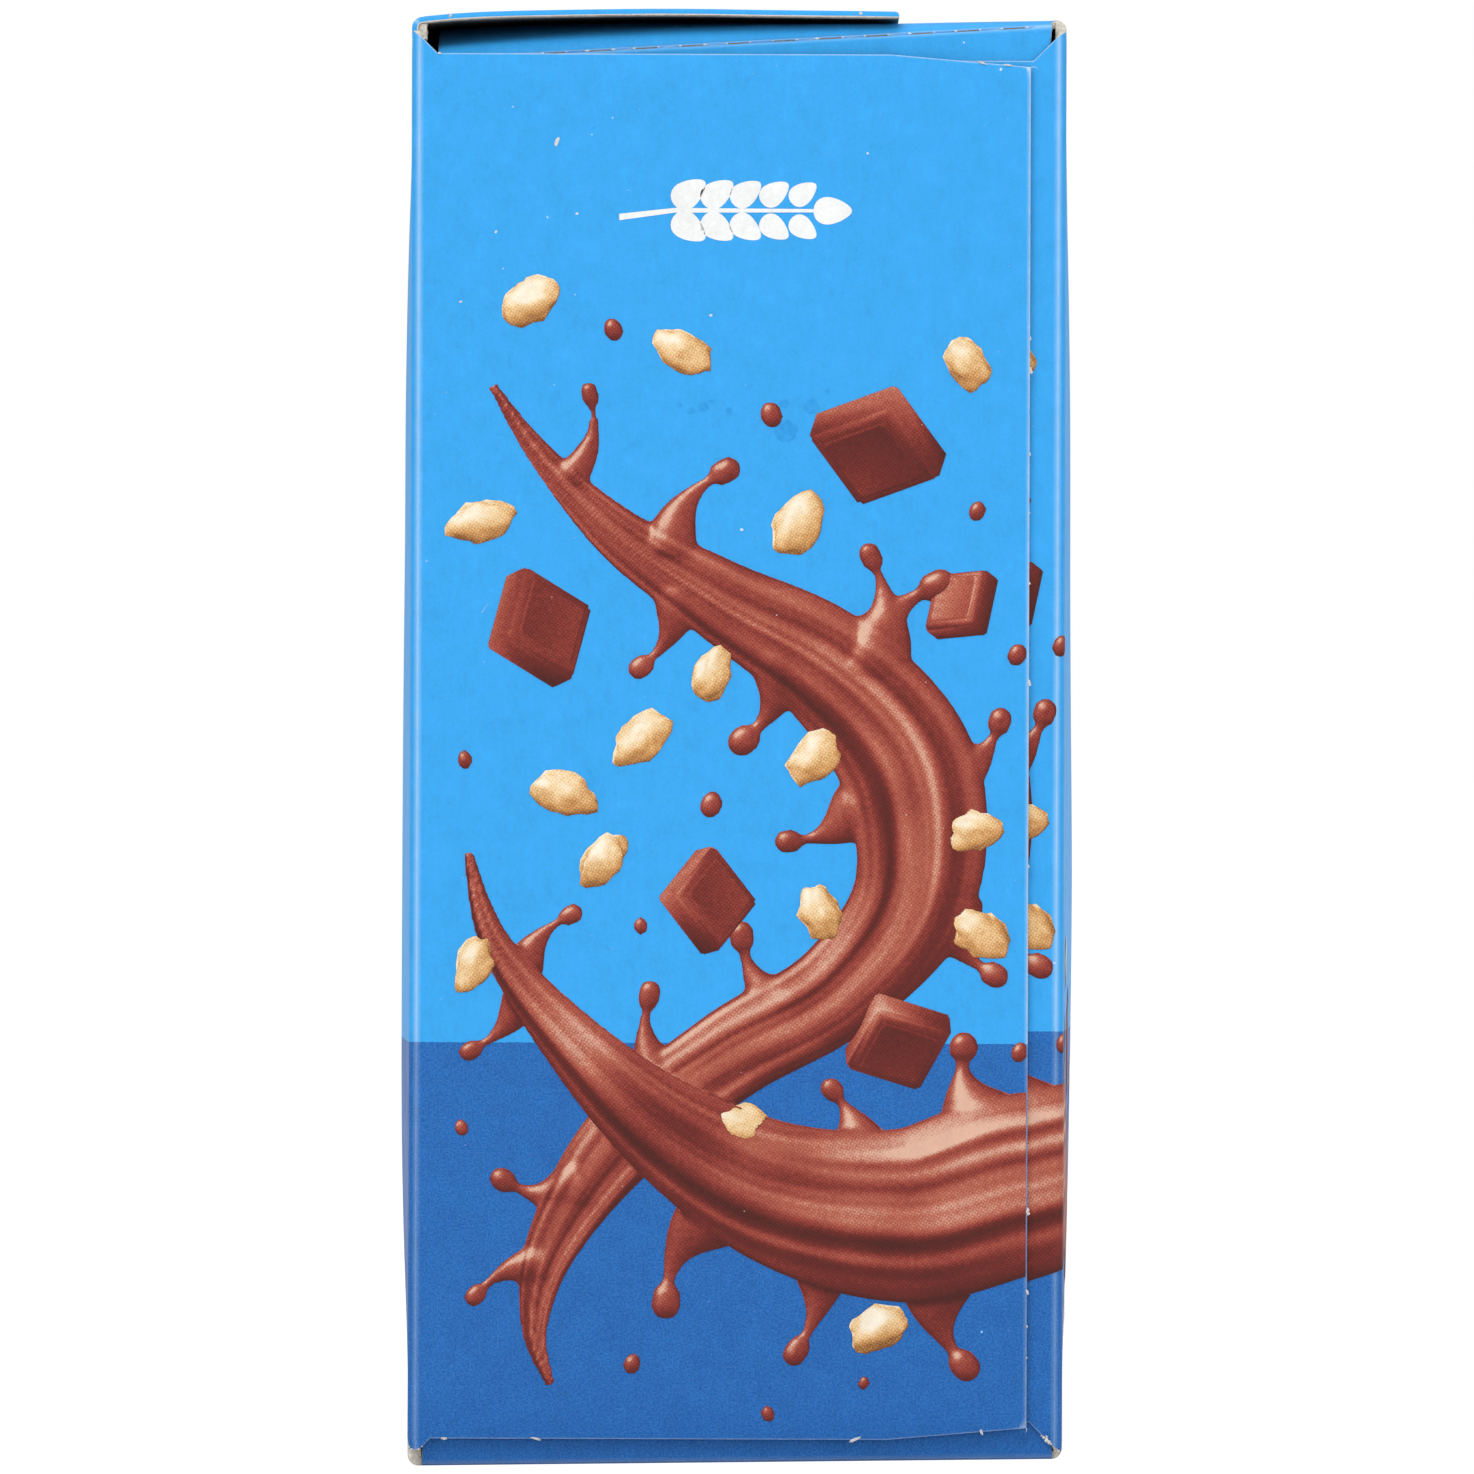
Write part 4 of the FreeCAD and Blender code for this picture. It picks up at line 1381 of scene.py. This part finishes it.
def clipped(points, faces, start, end):
    """The part of a picture between two places across the board."""
    picture = bmesh.new()
    tone = picture.verts.layers.float.new("tone")
    verts = []
    for u, v, lift, value in points:
        vert = picture.verts.new((u, v, lift))
        vert[tone] = value
        verts.append(vert)
    for face in faces:
        picture.faces.new([verts[k] for k in face])
    for place, way in ((start, -1), (end, 1)):
        bmesh.ops.bisect_plane(picture, geom=[*picture.verts, *picture.edges, *picture.faces],
                               plane_co=(place, 0, 0), plane_no=(way, 0, 0), clear_outer=True)
    picture.verts.index_update()
    kept = [(*vert.co, vert[tone]) for vert in picture.verts]
    corners = [[vert.index for vert in face.verts] for face in picture.faces]
    picture.free()
    return kept, corners


def on_outer_flap(end):
    """Places a printed point on an outer flap."""

    def place(u, v, lift):
        return outer_place(u, OUTER_PLANE + flap_wave(u, v) + lift, v, end)

    return place


def on_inner_flap(end):
    """Places a printed point on an inner flap, or past its hinge on the +X panel."""

    def place(u, v, lift):
        x = DEPTH - u
        if x >= FOLD:
            return inner_place(x, INNER_PLANE + lift, v, end)
        rest = FOLD - x
        if rest <= LAP_ARC:
            angle = rest / FOLD
            across = FOLD - (FOLD + lift) * math.sin(angle)
            out = INNER_PLANE - FOLD + (FOLD + lift) * math.cos(angle)
            return inner_place(across, out, v, end)
        back = rest - LAP_ARC
        straight = INNER_PLANE - FOLD
        if back <= straight:
            return inner_place(-lift, straight - back, v, end)
        share = (v - FOLD) / (TOP - 2 * FOLD)
        s = STARTS[RIGHT_RUN] + share * run_length(RUNS[RIGHT_RUN])
        return tube_surface(s, end * (BODY_END + straight - back)) + Vector((lift, 0, 0))

    return place


def print_picture(name, picture, place, material, start, end, shift=0.0):
    """Prints a flat picture on the board as a film of ink."""
    points, faces = picture
    moved = [(u + shift, v, lift, tone) for u, v, lift, tone in points]
    kept, corners = clipped(moved, faces, start, end)
    if not corners:
        return
    mesh = marked_mesh(name, [place(u, v, lift) for u, v, lift, _ in kept], corners,
                       [(u - shift, v) for u, v, _, _ in kept], tone=[tone for _, _, _, tone in kept])
    mesh.materials.append(material)
    settle(linked(name, mesh), "printed_flap")
    flip_inward_faces(mesh)


def flip_inward_faces(mesh):
    """Turns a film's faces so that they look away from the carton's middle."""
    total = sum(p.area * p.normal.dot(Vector((p.center.x, p.center.y, 0))) for p in mesh.polygons)
    if total < 0:
        mesh.flip_normals()


def build_figure():
    """Prints the figure on the outer flaps, and again, further round, on the inner flaps and side panel."""
    pictures = (
        ("melted_chocolate", press_flat(melted_solid(), 0.45, flow_lines()), ink_material("chocolate")),
        ("chocolate_squares", press_flat(squares_solid(), 0.30), ink_material("chocolate")),
        ("cereal_puffs", press_flat(puffs_solid(), 0.30), ink_material("cereal")),
        ("grain_sprig", press_flat(sprig_solid(), 0.0), ink_material("white")),
    )
    for label, end in ENDS:
        for name, picture, material in pictures:
            print_picture(label + name, picture, on_outer_flap(end), material, PRINT_START,
                          OUTER_REACH - PRINT_MARGIN)
            print_picture(label + name + "_repeat", picture, on_inner_flap(end), material,
                          OUTER_REACH - PRINT_UNDER, DEPTH + PRINT_PAST, REPEAT)


# ---------------------------------------------------------------- worn details


def loose_mesh(name, solid, material, end, slot="printed_flap"):
    """Turns a bmesh in millimetres into a piece of one material that rides on the carton.

    Closed lumps keep their outward faces; open patches are turned to face the carton's end.
    """
    bmesh.ops.transform(solid, matrix=Matrix.Scale(MM, 4), verts=solid.verts)
    bmesh.ops.recalc_face_normals(solid, faces=solid.faces)
    if any(edge.is_boundary for edge in solid.edges):
        bmesh.ops.reverse_faces(solid, faces=[f for f in solid.faces if f.normal.y * end < 0])
    mesh = mesh_of(name, solid)
    mesh.polygons.foreach_set("use_smooth", [True] * len(mesh.polygons))
    mesh.set_sharp_from_angle(angle=math.radians(45))
    mesh.materials.append(material)
    settle(linked(name, mesh), slot)


def tuft(solid, place, extent, chance):
    """Ragged bit of torn board lying at a place, with its half extents across, outward and up."""
    matrix = Matrix.Translation(place) @ Matrix.Rotation(chance.uniform(-0.5, 0.5), 4, "Y")
    made = bmesh.ops.create_icosphere(solid, subdivisions=3, radius=1.0, matrix=Matrix.Identity(4))
    offset = Vector((chance.uniform(0, 50), chance.uniform(0, 50), 0))
    for vert in made["verts"]:
        ragged = 0.55 * noise.noise(vert.co * 1.6 + offset) + 0.5 * noise.noise(vert.co * 5.0 + offset)
        vert.co *= 1.0 + ragged
        vert.co = matrix @ Vector([c * half for c, half in zip(vert.co, extent)])


def strand(solid, start, end, bow, thickness):
    """Fine paper fibre from start to end, bent towards bow."""
    rings = []
    ahead = (end - start).normalized()
    side = ahead.orthogonal().normalized()
    other = ahead.cross(side)
    for k in range(9):
        t = k / 8
        middle = start.lerp(end, t) + bow * math.sin(math.pi * t)
        girth = thickness * (1.0 - 0.7 * t)
        rings.append([solid.verts.new(middle + (side * math.cos(a) + other * math.sin(a)) * girth)
                      for a in (0.0, math.pi / 2, math.pi, 3 * math.pi / 2)])
    join_rings(solid, rings)


FREE_EDGE_NICKS = (
    # v up the outer flap's free edge, length, standing out: where the blank was held in its sheet
    (61.4, 0.18, 0.06), (59.7, 0.27, 0.10), (55.1, 0.15, 0.06), (51.9, 0.10, 0.04), (48.1, 0.16, 0.06),
    (42.7, 0.24, 0.09), (32.7, 0.15, 0.06), (14.0, 0.30, 0.10), (9.6, 0.22, 0.07), (7.7, 0.14, 0.05),
    (6.0, 0.10, 0.04),
)
LOWER_EDGE_NICKS = (
    # u along the outer flap's lower edge, length, hanging down
    (2.0, 0.30, 0.07), (7.0, 0.55, 0.06), (24.3, 0.65, 0.07), (31.2, 0.12, 0.17),
)
UPPER_EDGE_NICKS = ((1.5, 0.16, 0.05), (31.0, 0.5, 0.04), (32.4, 0.4, 0.04))
LAP_NICKS = ((2.1, 0.16), (24.4, 0.16))      # from the lap's fold, length
LONG_NICK = 0.2            # a nick on the free edge longer than this has a second tuft below it
NOTCH_TAGS = (
    # across from the +X hinge, height, size: torn ink at the inner flap's lower notch
    (1.00, 1.18, 0.07), (0.86, 1.05, 0.11), (0.72, 0.93, 0.09), (0.84, 1.22, 0.06), (0.12, 0.47, 0.05),
    (0.62, 0.84, 0.06), (1.12, 1.27, 0.04),
)
HINGE_TAGS = (
    # across from the -X hinge, height, size: frayed ends of the outer flap's lower notch
    (0.22, 0.92, 0.06), (0.62, 0.93, 0.05), (0.80, 1.08, 0.04), (0.10, 1.05, 0.05),
)


def nicks_at(end):
    """Place of each torn nick at one end of the carton, with its half extents."""
    outer = on_outer_flap(end)
    inner = on_inner_flap(end)
    for v, length, out in FREE_EDGE_NICKS:
        at = outer(OUTER_REACH, v, -0.10)
        yield at, (out, 0.09, length / 2)
        if length > LONG_NICK:
            yield at + Vector((out * 0.6, 0, -length * 0.5)), (out * 0.7, 0.06, length * 0.3)
    for nicks, outline, sunk, half in ((LOWER_EDGE_NICKS, OUTER_LOWER, 0.08, 0.08),
                                       (UPPER_EDGE_NICKS, OUTER_UPPER, 0.05, 0.06)):
        for u, length, out in nicks:
            yield outer(u, stepped(u, outline), -sunk), (length / 2, half, out)
    for across, v, half in NOTCH_TAGS:
        yield inner(DEPTH - across, v, -0.02), (half, 0.09, half)
    for from_fold, length in LAP_NICKS:
        x = LEFT_HIGH + from_fold
        yield Vector((x, end * (LAP_END - 0.03), lap_top(x) - 0.12)), (length / 2, 0.07, 0.09)
    for across, v, half in HINGE_TAGS:
        yield outer(across, v, -0.04), (half, 0.07, half)


def build_nicks():
    """White tufts along the cut edges, where the blank was snapped out of its sheet."""
    chance = random.Random(7)
    for label, end in ENDS:
        place = on_outer_flap(end)
        solid = bmesh.new()
        for at, extent in nicks_at(end):
            tuft(solid, at, extent, chance)
        corner = place(OUTER_REACH, OUTER_HIGH - OUTER_TAPER_DROP, -0.1)
        strand(solid, corner, corner + Vector((0.42, -0.02, -0.1)), Vector((0, 0, 0.05)), 0.022)
        corner = place(OUTER_REACH, OUTER_LOW + OUTER_TAPER_DROP, -0.1)
        strand(solid, corner, corner + Vector((-0.04, -0.02, -0.22)), Vector((0.03, 0, 0)), 0.030)
        strand(solid, place(3.9, 46.4, 0.0), place(4.25, 46.9, 0.0), Vector((0.03, 0, 0.04)), 0.012)
        loose_mesh(label + "edge_nicks", solid, plain_board("torn_paper"), end)


def build_perforation_tears():
    """Torn, turned-up bits of coating at both ends of each perforation cut."""
    chance = random.Random(11)
    for label, end in ENDS:
        name = label + "top_dust_flap"
        x_low = low(name).x
        width = high(name).x - x_low
        solid = bmesh.new()
        for start in perforation_cuts(width):
            for along, way in ((start, -1), (start + size("cut_length"), 1)):
                long = chance.uniform(0.08, 0.30)
                tall = chance.uniform(0.02, 0.05)
                x = x_low + along
                corners = ((0.05, 0.0), (-0.3 * long, tall), (-long, 0.02), (-0.4 * long, -tall))
                verts = []
                for across, rise in corners:
                    at_x = x - way * across
                    z = crease_height(at_x) - BOARD * (1 - math.sqrt(0.5)) + rise
                    y = end * (BODY_END + BOARD * math.sqrt(0.5) + 0.012 - rise * 0.9)
                    verts.append(solid.verts.new((at_x, y, z)))
                solid.faces.new(verts)
        loose_mesh(label + "perforation_tears", solid, plain_board("torn_paper"), end)


CRUSH_ACROSS, CRUSH_UP = 14, 18      # steps over a crushed corner


def crushed_ends(end):
    """What is crushed at the corners of one end.

    For each corner: its outside point, the ways inward across and up, the plane of its cut end, and
    how far the crushed fold fills it across and up.
    """
    flush = end * (BODY_END + 0.02)
    return (
        (Vector((LEFT_HIGH + 0.1, 0, TOP + LAP_LIFT + BOARD - 0.12)), 1, -1, end * (LAP_END - 0.1),
         0.74, 1.16),
        (Vector((right(TOP), 0, TOP)), -1, -1, flush, 0.64, 1.15),
        (Vector((LEFT_LOW, 0, 0)), 1, 1, flush, 0.80, 1.02),
        (Vector((right(0), 0, 0)), -1, 1, flush, 0.48, 0.95),
    )


def crushed_place(i, j, number, end, corner, way_x, way_z, y, wide, tall):
    """Place on a crushed corner's lump, which is ragged where it ends and sinks in at its rim."""
    a = wide * i / CRUSH_ACROSS
    b = tall * j / CRUSH_UP
    ragged = 0.04 * noise.noise(Vector((a * 5, b * 5, number * 7.0 + end)))
    ragged += 0.03 * noise.noise(Vector((a * 17, b * 13, number * 3.0 + end)))
    if i == CRUSH_ACROSS:
        a += ragged * 2
    if j == CRUSH_UP:
        b += ragged * 2
    inset_a, inset_b = round_inside(a, b, FOLD, 0.015)
    x = corner.x + way_x * inset_a
    z = corner.z + way_z * inset_b
    relief = 0.06 * noise.noise(Vector((x * 4.5, number * 9.0, z * 4.5)))
    relief += 0.03 * noise.noise(Vector((x * 14.0, number * 5.0, z * 14.0)))
    at_rim = i in (0, CRUSH_ACROSS) or j in (0, CRUSH_UP)
    return x, y + end * (-0.5 if at_rim else 0.02 + relief), z


def build_crushed_corners():
    """Ends of the long folds, where the board's plies are crushed into a lump of raw fibres."""
    for label, end in ENDS:
        solid = bmesh.new()
        for number, corner in enumerate(crushed_ends(end)):
            rows = [[solid.verts.new(crushed_place(i, j, number, end, *corner))
                     for j in range(CRUSH_UP + 1)] for i in range(CRUSH_ACROSS + 1)]
            for a, b in zip(rows, rows[1:]):
                for j in range(CRUSH_UP):
                    solid.faces.new((a[j], b[j], b[j + 1], a[j + 1]))
        loose_mesh(label + "crushed_corners", solid, plain_board("raw_cut_board"), end, "printed_board")


def round_inside(a, b, radius, margin):
    """Moves a place, measured from a square corner, inside that corner's rounding."""
    if a < radius and b < radius:
        from_center = Vector((radius - a, radius - b))
        limit = radius - margin
        if from_center.length > limit:
            from_center = from_center.normalized() * limit
        return radius - from_center.x, radius - from_center.y
    return max(a, margin), max(b, margin)


STAINS = (
    # u, v, radius: dried drops on the outer flap
    (20.3, 57.8, 0.26), (21.8, 57.65, 0.42), (23.0, 56.9, 0.36), (20.4, 56.3, 0.62), (25.0, 57.6, 0.2),
    (15.2, 57.4, 0.22), (15.9, 57.6, 0.28), (17.3, 57.4, 0.2), (16.4, 57.9, 0.16), (14.6, 57.7, 0.15),
    (22.6, 58.5, 0.14), (19.5, 57.2, 0.12),
)
CHIPS = (
    # u, v, half length, half width, turn: ink knocked off the outer flap
    (7.9, 72.0, 0.26, 0.10, 1.2), (9.0, 68.1, 0.09, 0.06, 0.4), (7.4, 67.9, 0.08, 0.05, 2.0),
    (4.6, 67.1, 0.09, 0.06, 0.9), (2.7, 63.3, 0.09, 0.05, 0.3), (5.0, 65.1, 0.07, 0.05, 1.0),
    (16.3, 62.6, 0.09, 0.06, 0.2), (8.9, 63.7, 0.06, 0.05, 1.9), (9.8, 72.4, 0.06, 0.05, 0.8),
    (5.5, 73.9, 0.07, 0.05, 0.5), (7.8, 58.8, 0.06, 0.05, 2.4), (10.9, 52.5, 0.08, 0.05, 1.1),
    (5.5, 46.9, 0.06, 0.05, 0.1), (0.9, 49.2, 0.08, 0.05, 0.7), (24.6, 10.6, 0.07, 0.05, 0.7),
    (31.2, 7.4, 0.07, 0.06, 1.4),
)
BARE_CHIP = 0.08           # a chip longer than this is bare to the paper


def spot(solid, place, u, v, long, wide, turn, lift, seed):
    """Flat, slightly ragged oval on the board."""
    corners = []
    for k in range(22):
        angle = 2 * math.pi * k / 22
        swell = 1.0 + 0.22 * noise.noise(Vector((math.cos(angle) * 1.4, math.sin(angle) * 1.4, seed)))
        at = Matrix.Rotation(turn, 2) @ Vector((long * math.cos(angle), wide * math.sin(angle))) * swell
        corners.append(solid.verts.new(place(u + at.x, v + at.y, lift)))
    solid.faces.new(corners)


def build_marks():
    """Dried drops and chips of missing ink on the outer flaps."""
    for label, end in ENDS:
        place = on_outer_flap(end)
        lift = size("ink_lift")
        drops, chips, thin = (bmesh.new() for _ in range(3))
        for number, (u, v, radius) in enumerate(STAINS):
            spot(drops, place, u, v, radius, radius * 0.95, 0.0, 0.5 * lift, number + end)
        for number, (u, v, long, wide, turn) in enumerate(CHIPS):
            spot(chips if long > BARE_CHIP else thin, place, u, v, long, wide, turn, 0.7 * lift,
                 number + 40 + end)
        loose_mesh(label + "dried_drops", drops, stain_material(), end)
        loose_mesh(label + "ink_chips", chips, plain_board("torn_paper"), end)
        loose_mesh(label + "thin_ink", thin, plain_board("thin_ink"), end)


# ---------------------------------------------------------------- stage


CAMERA_AWAY = 1500.0       # from the shown end
VIEW_WIDTH = 80.1          # width of the picture at the shown end
CAMERA_HEIGHT = 39.44
CAMERA_ROLL = math.radians(0.593)
WORLD_LEVEL = 0.56
WHITE = (1, 1, 1, 1)
FLOOR_REACH = 60.0         # metres from its middle to a side
FLOOR_GLOW = 1.25          # strength of the floor's own white, and how much of it is mixed in
FLOOR_GLOW_SHARE = 0.72


def build_camera():
    """Level camera far in front of the shown end."""
    data = bpy.data.cameras.new("camera")
    data.sensor_width = 36.0
    data.lens = data.sensor_width * CAMERA_AWAY / VIEW_WIDTH
    data.clip_start = 0.05
    data.clip_end = 20.0
    camera = linked("camera", data)
    camera.location = Vector((0, -END - CAMERA_AWAY, CAMERA_HEIGHT)) * MM
    camera.rotation_euler = (math.pi / 2, CAMERA_ROLL, 0)
    bpy.context.scene.camera = camera


def build_world(level):
    """Plain white world at a level, and pure white where it is seen itself."""
    world = bpy.data.worlds.new("studio")
    bpy.context.scene.world = world
    world.use_nodes = True
    tree = world.node_tree
    sky = tree.nodes["Background"]
    feed(tree, sky.inputs, {"Color": WHITE, "Strength": level})
    rays = add(tree, "ShaderNodeLightPath").outputs
    seen = maths(tree, "ADD", rays["Is Camera Ray"], rays["Is Transmission Ray"], clamp=True)
    white = add(tree, "ShaderNodeBackground", {"Color": WHITE, "Strength": 1.0})
    mixed = add(tree, "ShaderNodeMixShader", {0: seen, 1: sky.outputs[0], 2: white.outputs[0]})
    feed(tree, tree.nodes["World Output"].inputs, {"Surface": mixed.outputs[0]})


def paint_floor(tree, shader):
    """Pale floor that looks almost white, but keeps the carton's shadow."""
    feed(tree, shader.inputs, {"Base Color": (0.86, 0.86, 0.86, 1), "Roughness": 0.9,
                               "Specular IOR Level": 0.1})
    rays = add(tree, "ShaderNodeLightPath").outputs
    seen = plus(tree, rays["Is Camera Ray"], rays["Is Glossy Ray"])
    seen = maths(tree, "ADD", seen, rays["Is Transmission Ray"], clamp=True)
    white = add(tree, "ShaderNodeEmission", {"Color": WHITE, "Strength": FLOOR_GLOW})
    mixed = add(tree, "ShaderNodeMixShader", {0: times(tree, seen, FLOOR_GLOW_SHARE),
                                              1: shader.outputs[0], 2: white.outputs[0]})
    feed(tree, tree.nodes["Material Output"].inputs, {"Surface": mixed.outputs[0]})


def build_floor():
    mesh = bpy.data.meshes.new("floor")
    corners = ((-1, -1), (1, -1), (1, 1), (-1, 1))
    mesh.from_pydata([(x * FLOOR_REACH, y * FLOOR_REACH, 0) for x, y in corners], [], [(0, 1, 2, 3)])
    mesh.materials.append(shared_material("pale_floor", paint_floor))
    floor = linked("floor", mesh)


def build_lamp(name, place, target, extent, power):
    """Soft lamp, in metres and watts, turned to its target."""
    data = bpy.data.lights.new(name, "AREA")
    data.shape = "RECTANGLE"
    data.size, data.size_y = extent
    data.energy = power
    lamp = linked(name, data)
    lamp.location = place
    lamp.rotation_euler = (Vector(target) - Vector(place)).to_track_quat("-Z", "Y").to_euler()
    lamp.visible_camera = False


def build_lamps():
    middle = (0.0, -END * MM, TOP * MM / 2)
    build_lamp("key", (-0.45, -0.80, 1.00), middle, (0.5, 0.6), 6.1)
    build_lamp("fill", (0.70, -0.80, 0.25), middle, (0.5, 0.6), 1.8)
    build_lamp("front", (-0.10, -1.35, 0.20), middle, (0.30, 0.30), 0.7)
    build_lamp("top", (0.1, 0.1, 1.0), (0, 0, 0), (0.8, 0.8), 3.0)


# ---------------------------------------------------------------- add-on


class CartonSizes(bpy.types.PropertyGroup):
    """Sizes of the print, the tear-open cuts and the board's unevenness."""


SIZES = {
    "outer_band": ("Dark band", "Top of the dark band on the -X panel and the outer flaps", 23.05),
    "inner_band": ("Dark band, inner", "Top of the dark band on the +X panel and the inner flaps", 23.25),
    "ink_lift": ("Ink lift", "Height of a printed figure's ink over the board's face", 0.012),
    "ink_depth": ("Ink depth", "How much lower a figure's hidden parts lie than its nearest ones", 0.030),
    "cut_length": ("Cut length", "Length of a tear-open cut", 1.20),
    "cut_pitch": ("Cut pitch", "From the start of one tear-open cut to the next", 2.50),
    "cut_width": ("Cut width", "Half the width of a tear-open cut", 0.08),
    "panel_waviness": ("Panel waviness", "Slow unevenness of the large panels", 0.10),
    "flap_standoff": ("Flap standoff", "How far the outer flaps' free edges stand off", 0.05),
}
for key, (label, about, millimetres) in SIZES.items():
    CartonSizes.__annotations__[key] = bpy.props.FloatProperty(
        name=label, description=about, default=millimetres * MM, min=0.0, precision=6, subtype="DISTANCE",
        unit="LENGTH")


class CartonColours(bpy.types.PropertyGroup):
    """Colours of the print and the board."""


COLOURS = {
    "light_blue": ("Light blue", "Upper field of the print", "#39A4EB"),
    "dark_blue": ("Dark blue", "Band round the foot of the carton", "#1666B2"),
    "dark_blue_dots": ("Band's screen", "Darker screen dots of the band", "#08509F"),
    # On the folds this pale blue is partly rubbed ink and partly a painted highlight; on cut edges and ink
    # chips it is wear.
    "pale_wear_and_fold_highlight": ("Rubbed fold", "Ink that has gone pale on a fold", "#C4E2FA"),
    "paper": ("Coated paper", "White coating that shows where ink has gone", "#F1EFEC"),
    "raw_edge": ("Raw edge", "Cut edge of the board", "#ECE7DD"),
    "raw_shadow": ("Raw edge, dark fibres", "Darker fibres of a cut edge", "#BFB7AA"),
    "torn_shadow": ("Torn paper, shaded", "Fibres between the white of torn coating", "#C3C0BC"),
    "stain": ("Dried drop", "Light blue print under a dried drop", "#2F95DC"),
    "stain_light": ("Dried drop, faint", "Paler middle of a dried drop", "#38A0E8"),
    "board_back": ("Board back", "Unprinted grey back of the board", "#B5ABA0"),
    "back_shadow": ("Board back, dark fibres", "Darker fibres of the back", "#857B71"),
    "inside": ("Inside", "Shaded inside of the carton", "#15171B"),
    "inside_shadow": ("Inside, deep", "Deepest shade of the inside", "#08090B"),
}
INKS = {
    # from the deepest tone to the brightest
    "chocolate": ("#4B211D", "#6E2A25", "#943F35", "#B4634F", "#DDB19A"),
    "cereal": ("#7D4E2A", "#CC955A", "#EBC996", "#F6E6CA", "#FAF2E2"),
    "white": ("#E9EAEA", "#ECEDED", "#EEEFEF", "#F0F1F0", "#F2F2F1"),
}
for kind, shades in INKS.items():
    for k, (tone, hex_colour) in enumerate(zip(("deepest", "dark", "middle", "light", "brightest"), shades)):
        COLOURS[f"{kind}_{k}"] = (f"{kind.capitalize()}, {tone}", f"The figure's {kind}, its {tone} tone",
                                  hex_colour)
for key, (label, about, hex_colour) in COLOURS.items():
    CartonColours.__annotations__[key] = bpy.props.FloatVectorProperty(
        name=label, description=about, default=linear(hex_colour), min=0.0, max=1.0, size=3,
        subtype="COLOR")


class CARTON_OT_body(bpy.types.Operator):
    """Build the tube of board round its contents"""

    bl_idname = "carton.body"
    bl_label = "Tube"

    def execute(self, context):
        build_body()
        return {"FINISHED"}


class CARTON_OT_lap(bpy.types.Operator):
    """Build the glued outer lap on top"""

    bl_idname = "carton.lap"
    bl_label = "Outer Lap"

    def execute(self, context):
        build_lap()
        return {"FINISHED"}


class CARTON_OT_end_flaps(bpy.types.Operator):
    """Build the glued outer and inner flaps of both ends"""

    bl_idname = "carton.end_flaps"
    bl_label = "End Flaps"

    def execute(self, context):
        build_end_flaps()
        return {"FINISHED"}


class CARTON_OT_dust_flaps(bpy.types.Operator):
    """Build the dust flaps with their tear-open perforation"""

    bl_idname = "carton.dust_flaps"
    bl_label = "Dust Flaps"

    def execute(self, context):
        build_dust_flaps()
        return {"FINISHED"}


class CARTON_OT_figure(bpy.types.Operator):
    """Print the figure of melted chocolate, chocolate squares and cereal"""

    bl_idname = "carton.figure"
    bl_label = "Printed Figure"

    def execute(self, context):
        build_figure()
        return {"FINISHED"}


class CARTON_OT_wear(bpy.types.Operator):
    """Add the torn nicks, perforation tears, crushed corners, dried drops and ink chips"""

    bl_idname = "carton.wear"
    bl_label = "Wear"

    def execute(self, context):
        build_nicks()
        build_perforation_tears()
        build_crushed_corners()
        build_marks()
        return {"FINISHED"}


class CARTON_OT_stage(bpy.types.Operator):
    """Build the floor, the lamps, the world and the camera"""

    bl_idname = "carton.stage"
    bl_label = "Stage"

    def execute(self, context):
        build_world(WORLD_LEVEL)
        build_floor()
        build_lamps()
        build_camera()
        context.scene.view_settings.view_transform = "Standard"
        return {"FINISHED"}


STEPS = (
    CARTON_OT_body,
    CARTON_OT_lap,
    CARTON_OT_end_flaps,
    CARTON_OT_dust_flaps,
    CARTON_OT_figure,
    CARTON_OT_wear,
    CARTON_OT_stage,
)


class CARTON_PT_panel(bpy.types.Panel):
    """Sidebar panel that lists the carton's steps, sizes and colours"""

    bl_idname = "CARTON_PT_panel"
    bl_label = "Cereal Bar Carton"
    bl_space_type = "VIEW_3D"
    bl_region_type = "UI"
    bl_category = "Carton"

    def draw(self, context):
        for step in STEPS:
            self.layout.operator(step.bl_idname)
        for key in SIZES:
            self.layout.prop(context.scene.carton_sizes, key)
        for key in COLOURS:
            self.layout.prop(context.scene.carton_colours, key)


CLASSES = (CartonSizes, CartonColours, *STEPS, CARTON_PT_panel)


def register():
    for item in CLASSES:
        bpy.utils.register_class(item)
    bpy.types.Scene.carton_sizes = bpy.props.PointerProperty(type=CartonSizes)
    bpy.types.Scene.carton_colours = bpy.props.PointerProperty(type=CartonColours)


def unregister():
    del bpy.types.Scene.carton_colours
    del bpy.types.Scene.carton_sizes
    for item in reversed(CLASSES):
        bpy.utils.unregister_class(item)


def main():
    register()
    for step in STEPS:
        group, name = step.bl_idname.split(".")
        getattr(getattr(bpy.ops, group), name)()


if __name__ == "__main__":
    main()
